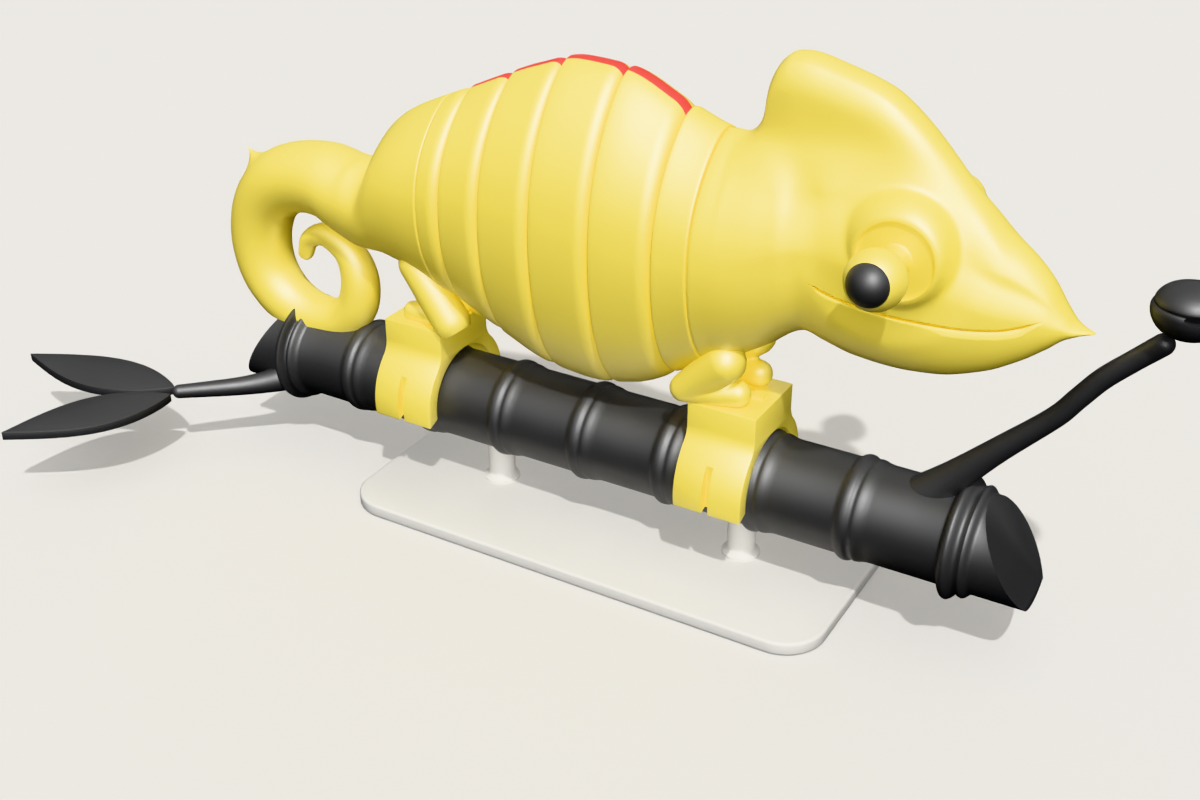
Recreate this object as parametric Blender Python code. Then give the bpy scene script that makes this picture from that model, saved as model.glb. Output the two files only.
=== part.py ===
"""A toy chameleon that grips a bamboo branch with two clips, on a low display stand.

Lengths are in millimetres and become metres when a mesh is made. The figure frame has its
origin on the branch's axis, X along the branch towards the head and Z up. An empty carries
the whole figure, so that world Z = 0 is the underside of the stand's base.
"""
import math

import bmesh
import bpy
from mathutils import Vector

MM = 0.001

# Fit and stand
FIT_GAP = 0.3                       # clearance left between neighbours
AXIS_HEIGHT = 22.0                  # branch axis above the floor
BASE_CENTRE_X = 66.0                # middle of the stand, in the figure frame
BASE_LENGTH = 112.0
BASE_WIDTH = 50.0
BASE_THICKNESS = 3.0
BASE_CORNER = 9.0
BASE_BEVEL = 0.5
ROD_RADIUS = 3.0
ROD_SPACING = 60.0

# Branch
BRANCH_RADIUS = 9.9
RIDGE_HEIGHT = 0.9
RIDGE_WIDTH = 4.2
RIDGE_STEP = 0.3
COLLAR_HEIGHT = 2.2
COLLAR_WIDTH = 5.6
NODE_PITCH = 20.0
NODE_COUNT = 7
REAR_COLLAR_X = -19.2
FRONT_COLLAR_X = 140.6
BRANCH_START = -32.2
BRANCH_END = 156.6
CUT_SLOPE = 0.6                     # how far the slanted ends lean, length per height
CUT_FOOT = -7.8                     # height at which the slanted ends turn upright

# Clips
CLIP_LENGTH = 14.8
CLIP_STARTS = {"clip_rear": 12.3, "clip_front": 86.8}
CLIP_TOP = 18.4
CLIP_HALF_WIDTH = 8.8
CLIP_OUTER = 14.3
CLIP_BORE = 11.2
CLIP_LIP = -2.8                     # height at which the clip's arms end
CLIP_CHAMFER = 0.7
CLIP_SLOT = (1.5, 10.2, 2.1)         # length, height and depth of the relief slot

# Trunk rings: the planes between them, and how their edges curl in
RING_PLANES = (26.6, 32.2, 42.4, 54.6, 68.0, 81.2, 88.8)
GROOVE_DEPTH = 2.4
HEAD_EDGE = 2.8
TAIL_EDGE = 1.5
SEAM_DEPTH = 0.35
SEAM_EDGE = 0.5
CREST_HALF_WIDTH = 1.5
CREST_SINK = 4.2

CUTTER_REACH = 120.0                # half the size of a block used only to cut

# How finely round shapes are faceted
BODY_SIDES = 22
HEAD_SIDES = 24
TAIL_SIDES = 12
LIMB_SIDES = 8
BRANCH_SIDES = 16
BALL_SIDES = 12
CLIP_STEPS = 8
TURRET_SIDES = 16
ROD_SIDES = 14

# How much the back narrows towards its top, and where that dies out on the neck
BACK_TAPER = 0.28
BACK_FADE_END = 104.0
BACK_FADE = 14.0

# How the skull's section differs from an ellipse: sloping shoulders and a fuller jaw
SKULL_START = 92.0
SKULL_FADE = 14.0
SKULL_GABLE = 0.55
JAW_FULLNESS = 0.7
BLADE_BLEND = 6.5

# Body ends and the slanted plane between neck and head
HIPS_START = 3.0
NOSE_END = 159.4
HIPS_STATIONS = (7.2, 8.7, 10.2, 12.6, 17.0)
NECK_STATIONS = (92.2, 94.8, 96.8, 97.6, 98.2, 99.8, 104.0, 112.0)
HEAD_STATIONS = (94.8, 96.8, 97.6, 98.2, 99.8, 104.0, 109.0, 114.0, 120.0, 126.0, 132.0, 138.0,
                 143.0, 148.0, 152.0, 155.0, 157.4, NOSE_END)
NECK_PLANE_X = 99.0
NECK_PLANE_Z = 60.0
NECK_PLANE_LEAN = -0.2

# Eyes
EYE_CENTRE = (126.8, 0.0, 58.3)
TURRET_DOME = ((11.0, 3.4), (10.9, 7.0), (10.3, 9.0), (9.4, 10.6), (8.4, 11.8), (7.6, 12.2))
TURRET_LEAN = 1.2                   # how far the dome's root lies behind its rim
DISC_RADIUS = 7.2
DISC_FLOOR = 11.4
RECESS_REACH = 6.0
PEG_RADIUS = 2.6
EYEBALL_RADIUS = 5.4
EYEBALL_OUT = 20.8
PUPIL_RADIUS = 4.05
PUPIL_CENTRE = (126.8, 0.0, 58.55)
PUPIL_OUT = 23.3

# Mouth
MOUTH_GAP = 1.2
MOUTH_DEPTH = 1.6

# Side outlines of the body, as (x, z)
DORSAL_LINE = (
    (3.0, 51.4), (7.2, 50.3), (8.7, 53.4), (10.2, 57.0), (12.6, 60.6), (16.0, 63.5),
    (20.0, 65.8), (28.6, 69.6), (38.5, 74.1), (48.5, 78.3), (58.6, 81.1), (68.4, 80.5),
    (80.6, 75.4), (88.8, 72.4), (92.2, 71.9), (94.8, 73.4), (96.8, 76.8), (97.6, 80.0),
    (98.2, 84.0), (99.8, 86.9), (101.8, 88.2), (104.0, 88.4), (110.0, 87.2), (119.0, 84.4),
    (125.0, 80.4), (132.0, 73.9), (138.0, 67.6), (143.0, 62.7), (148.0, 58.8), (151.0, 55.8),
    (154.0, 51.6), (156.2, 49.0), (158.0, 48.1), (159.4, 47.8),
)
VENTRAL_LINE = (
    (3.0, 30.6), (8.0, 31.0), (16.0, 29.6), (22.0, 27.8), (32.4, 23.8), (42.8, 18.9),
    (52.8, 15.0), (62.8, 14.0), (72.4, 15.8), (86.0, 23.4), (95.6, 28.6), (101.4, 32.4),
    (107.0, 36.6), (109.0, 37.2), (113.0, 36.2), (119.0, 34.6), (127.0, 34.0), (134.0, 34.5),
    (142.0, 36.9), (148.0, 40.3), (152.0, 43.4), (155.0, 46.0), (157.6, 47.1), (159.4, 47.4),
)
SKULL_TOP = (
    (88.8, 71.9), (94.0, 72.4), (100.0, 73.6), (108.0, 74.6), (116.0, 75.4), (124.0, 75.2),
    (130.0, 72.6), (136.0, 68.4), (140.0, 66.0),
)
HALF_WIDTH = (
    (3.0, 10.1), (8.0, 11.0), (12.0, 12.2), (20.0, 13.6), (26.6, 14.2), (36.0, 15.2),
    (46.0, 16.1), (58.0, 16.6), (68.0, 16.6), (78.0, 16.2), (86.0, 15.7), (92.0, 15.2),
    (98.0, 14.3), (104.0, 13.2), (110.0, 12.3), (118.0, 12.1), (124.0, 11.9), (130.0, 11.2),
    (136.0, 9.95), (142.0, 8.35), (148.0, 6.4), (152.0, 4.8), (156.0, 2.6), (158.0, 1.2),
    (159.4, 0.3),
)
CREST_BLADE = (
    (92.0, 2.0), (97.0, 4.2), (104.0, 5.2), (116.0, 5.2), (126.0, 5.0), (136.0, 4.2),
    (146.0, 2.8), (156.0, 1.0), (159.4, 0.2),
)
MOUTH_LINE = (
    (110.2, 51.1), (114.9, 49.5), (121.1, 48.3), (129.6, 47.6), (137.6, 47.4), (143.7, 47.8),
    (151.3, 50.0),
)

# Tail: stations along its middle, as (x, z, radius)
TAIL_LINE = (
    (2.7, 41.0, 10.2), (-1.2, 42.0, 9.3), (-6.6, 43.6, 8.6), (-14.2, 43.3, 8.0),
    (-21.0, 40.8, 7.7), (-26.4, 35.6, 7.3), (-29.2, 28.6, 7.0), (-29.3, 21.5, 6.7),
    (-27.0, 15.6, 6.4), (-22.0, 11.0, 6.0), (-14.6, 9.0, 5.3), (-7.2, 10.0, 4.9),
    (-2.4, 14.6, 4.7), (-1.1, 21.6, 4.3), (-3.6, 27.5, 3.5), (-9.6, 30.3, 2.8),
    (-14.6, 28.4, 2.2), (-16.4, 24.7, 1.8),
)
TAIL_SPLITS = {"tail_base": (0.0, 5.0), "tail_loop": (5.0, 12.0), "tail_tip": (12.0, 17.0)}
TAIL_SPIKE_AT = (-26.4, 43.6)
TAIL_SPIKE_TIP = (-31.0, 47.9)

# Legs, each as a chain of (x, y, z, radius) on the side towards -Y
FRONT_LEG = ((93.7, -7.0, 28.1, 4.2), (85.4, -7.4, 20.6, 3.0), (95.8, -5.0, 20.9, 2.7))
HIND_LEG = ((19.8, -6.0, 32.0, 3.8), (28.8, -6.6, 20.8, 4.2))
FRONT_LEG_SPAN = (76.0, 112.0)      # length of the body that the legs are cut to
HIND_LEG_SPAN = (6.0, 46.0)
HIND_TOE = ((17.4, -4.8, 19.9, 2.2), (25.0, -4.8, 20.2, 2.4))

# Twigs, leaves and bud
FRONT_TWIG = ((136.4, 0.0, 11.0, 3.4), (154.8, 0.0, 29.9, 2.0), (161.9, 0.0, 39.7, 1.95),
              (170.4, 0.0, 48.4, 1.95))
REAR_TWIG = ((-17.6, -5.4, -5.0, 2.9), (-20.6, -8.2, -5.5, 3.0), (-30.2, -17.6, -6.3, 2.0),
             (-37.2, -24.9, -5.8, 1.6))
BUD_CENTRE = (173.6, 0.0, 55.4)
BUD_RADIUS = 6.65
BUD_HALF_HEIGHT = 5.0
BUD_ROWS = 7
LEAF_THICKNESS = 2.0
LEAF_TOP = -5.4
LEAVES = {
    "leaf_1": ((-39.2, -24.3), (-82.0, -29.4), 7.6, -6.6),
    "leaf_2": ((-37.6, -27.2), (-57.0, -59.4), 7.0, -7.2),
}

SIDES = (("right", -1.0), ("left", 1.0))


def smooth_line(points):
    """Return a function that follows the given (x, value) points without overshoot."""
    places = [point[0] for point in points]
    values = [point[1] for point in points]
    slopes = []
    for index in range(len(points) - 1):
        run = places[index + 1] - places[index]
        slopes.append((values[index + 1] - values[index]) / run)
    tangents = [slopes[0]]
    for before, after in zip(slopes, slopes[1:]):
        turning = before * after <= 0.0
        tangents.append(0.0 if turning else 2.0 * before * after / (before + after))
    tangents.append(slopes[-1])

    def value_at(place):
        place = min(max(place, places[0]), places[-1])
        index = 0
        while index < len(slopes) - 1 and place > places[index + 1]:
            index += 1
        run = places[index + 1] - places[index]
        t = (place - places[index]) / run
        rise = values[index] * (2 * t ** 3 - 3 * t ** 2 + 1)
        rise += values[index + 1] * (3 * t ** 2 - 2 * t ** 3)
        rise += tangents[index] * run * (t ** 3 - 2 * t ** 2 + t)
        rise += tangents[index + 1] * run * (t ** 3 - t ** 2)
        return rise

    return value_at


dorsal = smooth_line(DORSAL_LINE)
ventral = smooth_line(VENTRAL_LINE)
skull_top = smooth_line(SKULL_TOP)
half_width = smooth_line(HALF_WIDTH)
blade_width = smooth_line(CREST_BLADE)
mouth_height = smooth_line(MOUTH_LINE)


def clear_scene():
    for item in list(bpy.data.objects):
        bpy.data.objects.remove(item, do_unlink=True)


def plastic(name, colour, roughness):
    material = bpy.data.materials.new(name)
    material.use_nodes = True
    shader = material.node_tree.nodes["Principled BSDF"]
    shader.inputs["Base Color"].default_value = (*colour, 1.0)
    shader.inputs["Roughness"].default_value = roughness
    shader.inputs["Metallic"].default_value = 0.0
    return material


def new_piece(name, mesh_builder, material, smooth_angle=40.0):
    """Turn a bmesh in millimetres into a named object of the figure."""
    bmesh.ops.remove_doubles(mesh_builder, verts=mesh_builder.verts, dist=0.001)
    bmesh.ops.recalc_face_normals(mesh_builder, faces=mesh_builder.faces)
    bmesh.ops.scale(mesh_builder, vec=(MM, MM, MM), verts=mesh_builder.verts)
    mesh = bpy.data.meshes.new(name)
    mesh_builder.to_mesh(mesh)
    mesh_builder.free()
    mesh.shade_smooth()
    mesh.set_sharp_from_angle(angle=math.radians(smooth_angle))
    piece = bpy.data.objects.new(name, mesh)
    bpy.context.collection.objects.link(piece)
    if material is not None:
        mesh.materials.append(material)
    return piece


def combine(piece, other, operation):
    """Apply an exact Boolean of piece with other, then drop other."""
    modifier = piece.modifiers.new(operation.lower(), "BOOLEAN")
    modifier.operation = operation
    modifier.solver = "EXACT"
    modifier.object = other
    graph = bpy.context.evaluated_depsgraph_get()
    mesh = bpy.data.meshes.new_from_object(piece.evaluated_get(graph))
    piece.modifiers.clear()
    old_mesh = piece.data
    piece.data = mesh
    bpy.data.meshes.remove(old_mesh)
    mesh.name = piece.name
    bpy.data.objects.remove(other, do_unlink=True)
    tidy = bmesh.new()
    tidy.from_mesh(mesh)
    bmesh.ops.remove_doubles(tidy, verts=tidy.verts, dist=0.004 * MM)
    bmesh.ops.dissolve_degenerate(tidy, edges=tidy.edges, dist=0.004 * MM)
    tidy.to_mesh(mesh)
    tidy.free()
    return piece


def skin_rings(rings, cap_start=True, cap_end=True):
    """Bridge closed rings of points into one closed tube."""
    builder = bmesh.new()
    rows = []
    for ring in rings:
        rows.append([builder.verts.new(point) for point in ring])
    count = len(rows[0])
    for first, second in zip(rows, rows[1:]):
        for index in range(count):
            after = (index + 1) % count
            builder.faces.new((first[index], first[after], second[after], second[index]))
    if cap_start:
        builder.faces.new(list(reversed(rows[0])))
    if cap_end:
        builder.faces.new(rows[-1])
    return builder


def side_width(x, z, top, bottom):
    """Half-width of the body at height z of the section at x."""
    crown = min(top, skull_top(x)) if x > SKULL_TOP[0][0] else top
    middle = 0.5 * (crown + bottom)
    reach = 0.5 * (crown - bottom)
    level = min(abs(z - middle) / reach, 1.0)
    skull = min(max((x - SKULL_START) / SKULL_FADE, 0.0), 1.0)
    power = 2.0 + skull * (JAW_FULLNESS if z < middle else -SKULL_GABLE)
    trunk = half_width(x) * (1.0 - level ** power) ** (1.0 / power)
    if z > middle:
        fade = min(max((BACK_FADE_END - x) / BACK_FADE, 0.0), 1.0)
        trunk *= 1.0 - BACK_TAPER * fade * level ** 3
    if x <= CREST_BLADE[0][0]:
        return trunk
    blade = min(blade_width(x), 0.45 * (top - bottom))
    fade = min(max((z - middle) / (0.6 * reach), 0.0), 1.0)
    below_top = min((top - z) / (1.3 * blade), 1.0)
    blade *= fade * math.sqrt(max(below_top * (2.0 - below_top), 0.0))
    blend = BLADE_BLEND * min(1.0, blade / 3.0)
    meet = max(blend - abs(trunk - blade), 0.0) / max(blend, 1e-6)
    return max(trunk, blade) + 0.25 * meet * meet * blend


def body_ring(x, inset, count):
    """The body's outline in the plane at x, drawn in by inset."""
    top = dorsal(x) - inset
    bottom = ventral(x) + inset
    middle = 0.5 * (top + bottom)
    reach = 0.5 * (top - bottom)
    full_top = dorsal(x)
    full_bottom = ventral(x)
    full_middle = 0.5 * (full_top + full_bottom)
    full_reach = 0.5 * (full_top - full_bottom)
    points = []
    for step in range(count):
        angle = 2.0 * math.pi * step / count
        height = math.cos(angle)
        width = side_width(x, full_middle + full_reach * height, full_top, full_bottom)
        width = width * max(half_width(x) - inset, 0.1) / half_width(x)
        side = 1.0 if math.sin(angle) > 1e-9 else -1.0
        if abs(math.sin(angle)) < 1e-9:
            width = 0.0
        points.append((x, side * width, middle + reach * height))
    return points


def body_length(stations, insets, count):
    return skin_rings([body_ring(x, inset, count) for x, inset in zip(stations, insets)])


def curl(distance, edge, depth):
    """How far the surface is drawn in at a distance from a rounded edge."""
    if distance >= edge:
        return 0.0
    fall = 1.0 - distance / edge
    return depth * (1.0 - math.sqrt(1.0 - fall * fall))


def edge_stations(start, end, start_edge, end_edge):
    """Stations along one length of the body, closer together where it curls in."""
    stations = [start, start + 0.3 * start_edge, start + start_edge]
    stations += [end - end_edge, end - 0.5 * end_edge, end - 0.12 * end_edge, end]
    return stations


def make_ring(name, start, end, start_style, end_style, material):
    """One puffed ring of the trunk between two planes."""
    start_edge, start_depth = start_style
    end_edge, end_depth = end_style
    start += 0.5 * FIT_GAP
    end -= 0.5 * FIT_GAP
    stations = edge_stations(start, end, start_edge, end_edge)
    insets = []
    for x in stations:
        inset = curl(x - start, start_edge, start_depth)
        insets.append(max(inset, curl(end - x, end_edge, end_depth)))
    return new_piece(name, body_length(stations, insets, BODY_SIDES), material)


def box(name, low, high, material=None):
    builder = bmesh.new()
    bmesh.ops.create_cube(builder, size=1.0)
    size = [high[axis] - low[axis] for axis in range(3)]
    centre = [0.5 * (high[axis] + low[axis]) for axis in range(3)]
    bmesh.ops.scale(builder, vec=size, verts=builder.verts)
    bmesh.ops.translate(builder, vec=centre, verts=builder.verts)
    return new_piece(name, builder, material)


def copy_of(piece, name):
    twin = piece.copy()
    twin.data = piece.data.copy()
    twin.name = name
    bpy.context.collection.objects.link(twin)
    return twin


def inlay_crest(ring, name, start, end, material):
    """Cut a strip from the top of a ring and fill it with a crest piece of its own."""
    floor = min(dorsal(start), dorsal(end)) - CREST_SINK
    low = (start - CREST_SINK, -CREST_HALF_WIDTH, floor)
    high = (end + CREST_SINK, CREST_HALF_WIDTH, CUTTER_REACH)
    crest = copy_of(ring, name)
    combine(crest, box("crest_block", low, high), "INTERSECT")
    crest.data.materials.clear()
    crest.data.materials.append(material)
    low = (start - CREST_SINK, -CREST_HALF_WIDTH - FIT_GAP, floor - FIT_GAP)
    high = (end + CREST_SINK, CREST_HALF_WIDTH + FIT_GAP, CUTTER_REACH)
    combine(ring, box("crest_slot", low, high), "DIFFERENCE")


def make_trunk(yellow, red):
    thin = (SEAM_EDGE, SEAM_DEPTH)
    for number in range(6):
        start = RING_PLANES[number]
        end = RING_PLANES[number + 1]
        start_style = thin if number == 0 else (TAIL_EDGE, GROOVE_DEPTH)
        end_style = thin if number == 5 else (HEAD_EDGE, GROOVE_DEPTH)
        ring = make_ring(f"ring_{number + 1}", start, end, start_style, end_style, yellow)
        if 1 <= number <= 4:
            inlay_crest(ring, f"crest_{number}", start, end, red)


def make_hips(yellow):
    start = HIPS_START
    end = RING_PLANES[0] - 0.5 * FIT_GAP
    stations = [start, *HIPS_STATIONS, end - SEAM_EDGE, end]
    insets = [0.0] * (len(stations) - 1) + [SEAM_DEPTH]
    return new_piece("hips", body_length(stations, insets, BODY_SIDES), yellow)


def slanted_halfspace(shift, head_side):
    """A block on one side of the leaning plane between neck and head."""
    far = CUTTER_REACH if head_side else -CUTTER_REACH
    rings = []
    for z in (NECK_PLANE_Z - CUTTER_REACH, NECK_PLANE_Z + CUTTER_REACH):
        x = NECK_PLANE_X + NECK_PLANE_LEAN * (z - NECK_PLANE_Z) + shift
        rings.append([
            (x, -CUTTER_REACH, z), (x + far, -CUTTER_REACH, z),
            (x + far, CUTTER_REACH, z), (x, CUTTER_REACH, z),
        ])
    return new_piece("halfspace", skin_rings(rings), None)


def make_neck(yellow):
    start = RING_PLANES[-1] + 0.5 * FIT_GAP
    stations = [start, start + SEAM_EDGE, *NECK_STATIONS]
    insets = [SEAM_DEPTH] + [0.0] * (len(stations) - 1)
    neck = new_piece("neck", body_length(stations, insets, BODY_SIDES), yellow)
    combine(neck, slanted_halfspace(-0.5 * FIT_GAP, True), "DIFFERENCE")
    return neck


def turned(profile, count, centre, side):
    """Spin a (radius, out) profile about an axis along Y through centre."""
    rings = []
    for radius, out in profile:
        ring = []
        for step in range(count):
            angle = 2.0 * math.pi * step / count
            x = centre[0] + radius * math.cos(angle)
            z = centre[2] + radius * math.sin(angle)
            ring.append((x, centre[1] + side * out, z))
        rings.append(ring)
    return skin_rings(rings)


def make_mouth_cutter(side):
    """A thin slab that follows the mouth line and reaches just inside the cheek."""
    rings = []
    first = MOUTH_LINE[0][0]
    last = MOUTH_LINE[-1][0]
    steps = 8
    for step in range(steps + 1):
        x = first + (last - first) * step / steps
        z = mouth_height(x)
        taper = 0.5 * MOUTH_GAP * min(1.0, 0.25 + 4.0 * min(step, steps - step) / steps)
        inner = side_width(x, z, dorsal(x), ventral(x)) - MOUTH_DEPTH
        outer = inner + 12.0
        rings.append([
            (x, side * inner, z - taper), (x, side * outer, z - taper),
            (x, side * outer, z + taper), (x, side * inner, z + taper),
        ])
    return new_piece("mouth_cutter", skin_rings(rings), None)


def make_head(yellow):
    flat = [0.0] * len(HEAD_STATIONS)
    head = new_piece("head", body_length(HEAD_STATIONS, flat, HEAD_SIDES), yellow)
    combine(head, slanted_halfspace(0.5 * FIT_GAP, False), "DIFFERENCE")
    for label, side in SIDES:
        dome = turned(TURRET_DOME, TURRET_SIDES, EYE_CENTRE, side)
        for vertex in dome.verts:
            depth = min(max((TURRET_DOME[-1][1] - abs(vertex.co.y)) / 4.0, 0.0), 1.0)
            vertex.co.x -= TURRET_LEAN * depth
        turret = new_piece("turret", dome, None)
        combine(head, turret, "UNION")
        recess = [(DISC_RADIUS, DISC_FLOOR), (DISC_RADIUS, DISC_FLOOR + RECESS_REACH)]
        disc = new_piece("recess", turned(recess, TURRET_SIDES, EYE_CENTRE, side), None)
        combine(head, disc, "DIFFERENCE")
        combine(head, make_mouth_cutter(side), "DIFFERENCE")
    return head


def ball_profile(radius, out, rows):
    profile = []
    for step in range(rows + 1):
        angle = math.pi * step / rows
        profile.append((max(radius * math.sin(angle), 0.02), out - radius * math.cos(angle)))
    return profile


def make_eyes(yellow, black):
    """Each eye is a ball on a peg, with the pupil as a smaller ball let into its front."""
    for label, side in SIDES:
        pupil = ball_profile(PUPIL_RADIUS, PUPIL_OUT, BALL_SIDES // 2)
        new_piece(f"pupil_{label}", turned(pupil, BALL_SIDES, PUPIL_CENTRE, side), black)
        ball = ball_profile(EYEBALL_RADIUS, EYEBALL_OUT, BALL_SIDES // 2 + 1)
        ball = turned(ball, BALL_SIDES, EYE_CENTRE, side)
        eyeball = new_piece(f"eyeball_{label}", ball, yellow)
        seat = ball_profile(PUPIL_RADIUS + FIT_GAP, PUPIL_OUT, BALL_SIDES // 2)
        seat = new_piece("seat", turned(seat, BALL_SIDES, PUPIL_CENTRE, side), None)
        combine(eyeball, seat, "DIFFERENCE")
        peg = [(PEG_RADIUS, DISC_FLOOR + FIT_GAP), (PEG_RADIUS, EYEBALL_OUT - PEG_RADIUS)]
        peg = new_piece("peg", turned(peg, LIMB_SIDES, EYE_CENTRE, side), None)
        combine(eyeball, peg, "UNION")


def tail_station(position):
    """Middle, direction and radius of the tail at a position counted in TAIL_LINE stations."""
    marks = range(len(TAIL_LINE))
    along_x = smooth_line([(mark, TAIL_LINE[mark][0]) for mark in marks])
    along_z = smooth_line([(mark, TAIL_LINE[mark][1]) for mark in marks])
    girth = smooth_line([(mark, TAIL_LINE[mark][2]) for mark in marks])
    step = 0.05
    ahead = min(position + step, len(TAIL_LINE) - 1.0)
    behind = max(position - step, 0.0)
    run_x = along_x(ahead) - along_x(behind)
    run_z = along_z(ahead) - along_z(behind)
    length = math.hypot(run_x, run_z)
    return (along_x(position), along_z(position)), (run_x / length, run_z / length), girth(position)


def tail_ring(middle, direction, radius, count):
    points = []
    for step in range(count):
        angle = 2.0 * math.pi * step / count
        out = radius * math.cos(angle)
        x = middle[0] - direction[1] * out
        z = middle[1] + direction[0] * out
        points.append((x, radius * math.sin(angle), z))
    return points


def level_out(direction, amount):
    """Turn a direction towards the hips' flat rear face as amount goes from 1 to 0."""
    run_x = direction[0] * amount - (1.0 - amount)
    run_z = direction[1] * amount
    length = math.hypot(run_x, run_z)
    return run_x / length, run_z / length


def tail_spike():
    """A small thorn on the outside of the tail's first bend."""
    x, z = TAIL_SPIKE_AT
    tip_x, tip_z = TAIL_SPIKE_TIP
    return new_piece("spike", tube_between((x, 0.0, z, 1.8), (tip_x, 0.0, tip_z, 0.3)), None)


def make_tail(yellow):
    for name, (first, last) in TAIL_SPLITS.items():
        steps = int((last - first) * 1.6)
        rings = []
        for step in range(steps + 1):
            position = first + (last - first) * step / steps
            middle, direction, radius = tail_station(position)
            shift = 0.0
            if step == 0 and first > 0.0:
                shift = FIT_GAP
            middle = (middle[0] + direction[0] * shift, middle[1] + direction[1] * shift)
            if position < 1.0:
                direction = level_out(direction, position)
            rings.append(tail_ring(middle, direction, radius, TAIL_SIDES))
        if name == "tail_tip":
            for angle in (40.0, 80.0):
                turn = math.radians(angle)
                tip = (middle[0] + direction[0] * radius * math.sin(turn),
                       middle[1] + direction[1] * radius * math.sin(turn))
                rings.append(tail_ring(tip, direction, radius * math.cos(turn), TAIL_SIDES))
        length = new_piece(name, skin_rings(rings), yellow)
        if name == "tail_loop":
            combine(length, branch_tube("branch_cutter", FIT_GAP, None), "DIFFERENCE")
        if name == "tail_base":
            combine(length, tail_spike(), "UNION")


def tube_between(start, end):
    """A tapered rod with round ends, from (x, y, z, radius) to (x, y, z, radius)."""
    low = Vector(start[:3])
    high = Vector(end[:3])
    axis = (high - low).normalized()
    across = axis.cross(Vector((0.0, 1.0, 0.0)))
    if across.length < 0.1:
        across = axis.cross(Vector((1.0, 0.0, 0.0)))
    across.normalize()
    other = axis.cross(across)
    stations = []
    for angle in (-80.0, -40.0, 0.0):
        turn = math.radians(angle)
        stations.append((low + axis * start[3] * math.sin(turn), start[3] * math.cos(turn)))
    for angle in (0.0, 40.0, 80.0):
        turn = math.radians(angle)
        stations.append((high + axis * end[3] * math.sin(turn), end[3] * math.cos(turn)))
    rings = []
    for middle, radius in stations:
        ring = []
        for step in range(LIMB_SIDES):
            angle = 2.0 * math.pi * step / LIMB_SIDES
            ring.append(middle + across * radius * math.cos(angle) + other * radius * math.sin(angle))
        rings.append(ring)
    return skin_rings(rings)


def limb(name, chain, side, material):
    """Round-ended rods along a chain, joined into one body."""
    chain = [(x, y * -side, z, radius) for x, y, z, radius in chain]
    piece = new_piece(name, tube_between(chain[0], chain[1]), material)
    for start, end in zip(chain[1:], chain[2:]):
        link = new_piece("link", tube_between(start, end), None)
        combine(piece, link, "UNION")
    return piece


def body_cutter(start, end):
    """The body's own shape, swollen by the fit gap."""
    steps = 8
    stations = [start + (end - start) * step / steps for step in range(steps + 1)]
    builder = body_length(stations, [-FIT_GAP] * len(stations), BODY_SIDES)
    return new_piece("body_cutter", builder, None)


def clip_top_cutter():
    """Everything up to just above the level of the clips' flat tops."""
    low = (-CUTTER_REACH, -CUTTER_REACH, -CUTTER_REACH)
    high = (CUTTER_REACH, CUTTER_REACH, CLIP_TOP + FIT_GAP)
    return box("clip_top_cutter", low, high)


def make_legs(yellow):
    for label, side in SIDES:
        front = limb(f"front_leg_{label}", FRONT_LEG, side, yellow)
        combine(front, body_cutter(*FRONT_LEG_SPAN), "DIFFERENCE")
        combine(front, clip_top_cutter(), "DIFFERENCE")
        hind = limb(f"hind_leg_{label}", HIND_LEG, side, yellow)
        toe = limb("toe", HIND_TOE, side, None)
        combine(hind, toe, "UNION")
        combine(hind, body_cutter(*HIND_LEG_SPAN), "DIFFERENCE")
        combine(hind, clip_top_cutter(), "DIFFERENCE")


def clip_outline():
    """The clip's end view, as (y, z) points round the outside and back round the bore."""
    outline = [(0.0, CLIP_TOP), (-CLIP_HALF_WIDTH + CLIP_CHAMFER, CLIP_TOP),
               (-CLIP_HALF_WIDTH, CLIP_TOP - CLIP_CHAMFER)]
    shoulder = math.acos(CLIP_HALF_WIDTH / CLIP_OUTER)
    lip = math.asin(CLIP_LIP / CLIP_OUTER)
    for step in range(CLIP_STEPS + 1):
        angle = shoulder + (lip - shoulder) * step / CLIP_STEPS
        outline.append((-CLIP_OUTER * math.cos(angle), CLIP_OUTER * math.sin(angle)))
    lip = math.asin(CLIP_LIP / CLIP_BORE)
    for step in range(CLIP_STEPS + 1):
        angle = lip + (0.5 * math.pi - lip) * step / CLIP_STEPS
        outline.append((-CLIP_BORE * math.cos(angle), CLIP_BORE * math.sin(angle)))
    mirrored = [(-y, z) for y, z in reversed(outline[1:-1])]
    return outline[1:] + mirrored


def make_clip(name, start, material):
    outline = clip_outline()
    rings = []
    for x in (start, start + CLIP_LENGTH):
        rings.append([(x, y, z) for y, z in outline])
    clip = new_piece(name, skin_rings(rings), material)
    length, height, depth = CLIP_SLOT
    middle = start + 0.48 * CLIP_LENGTH
    for label, side in SIDES:
        near = side * (CLIP_OUTER - depth)
        far = side * (CLIP_OUTER + 4.0)
        low = (middle - 0.5 * length, min(near, far), CLIP_LIP - 4.0)
        high = (middle + 0.5 * length, max(near, far), CLIP_LIP + height)
        combine(clip, box("slot", low, high), "DIFFERENCE")
    return clip


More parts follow.
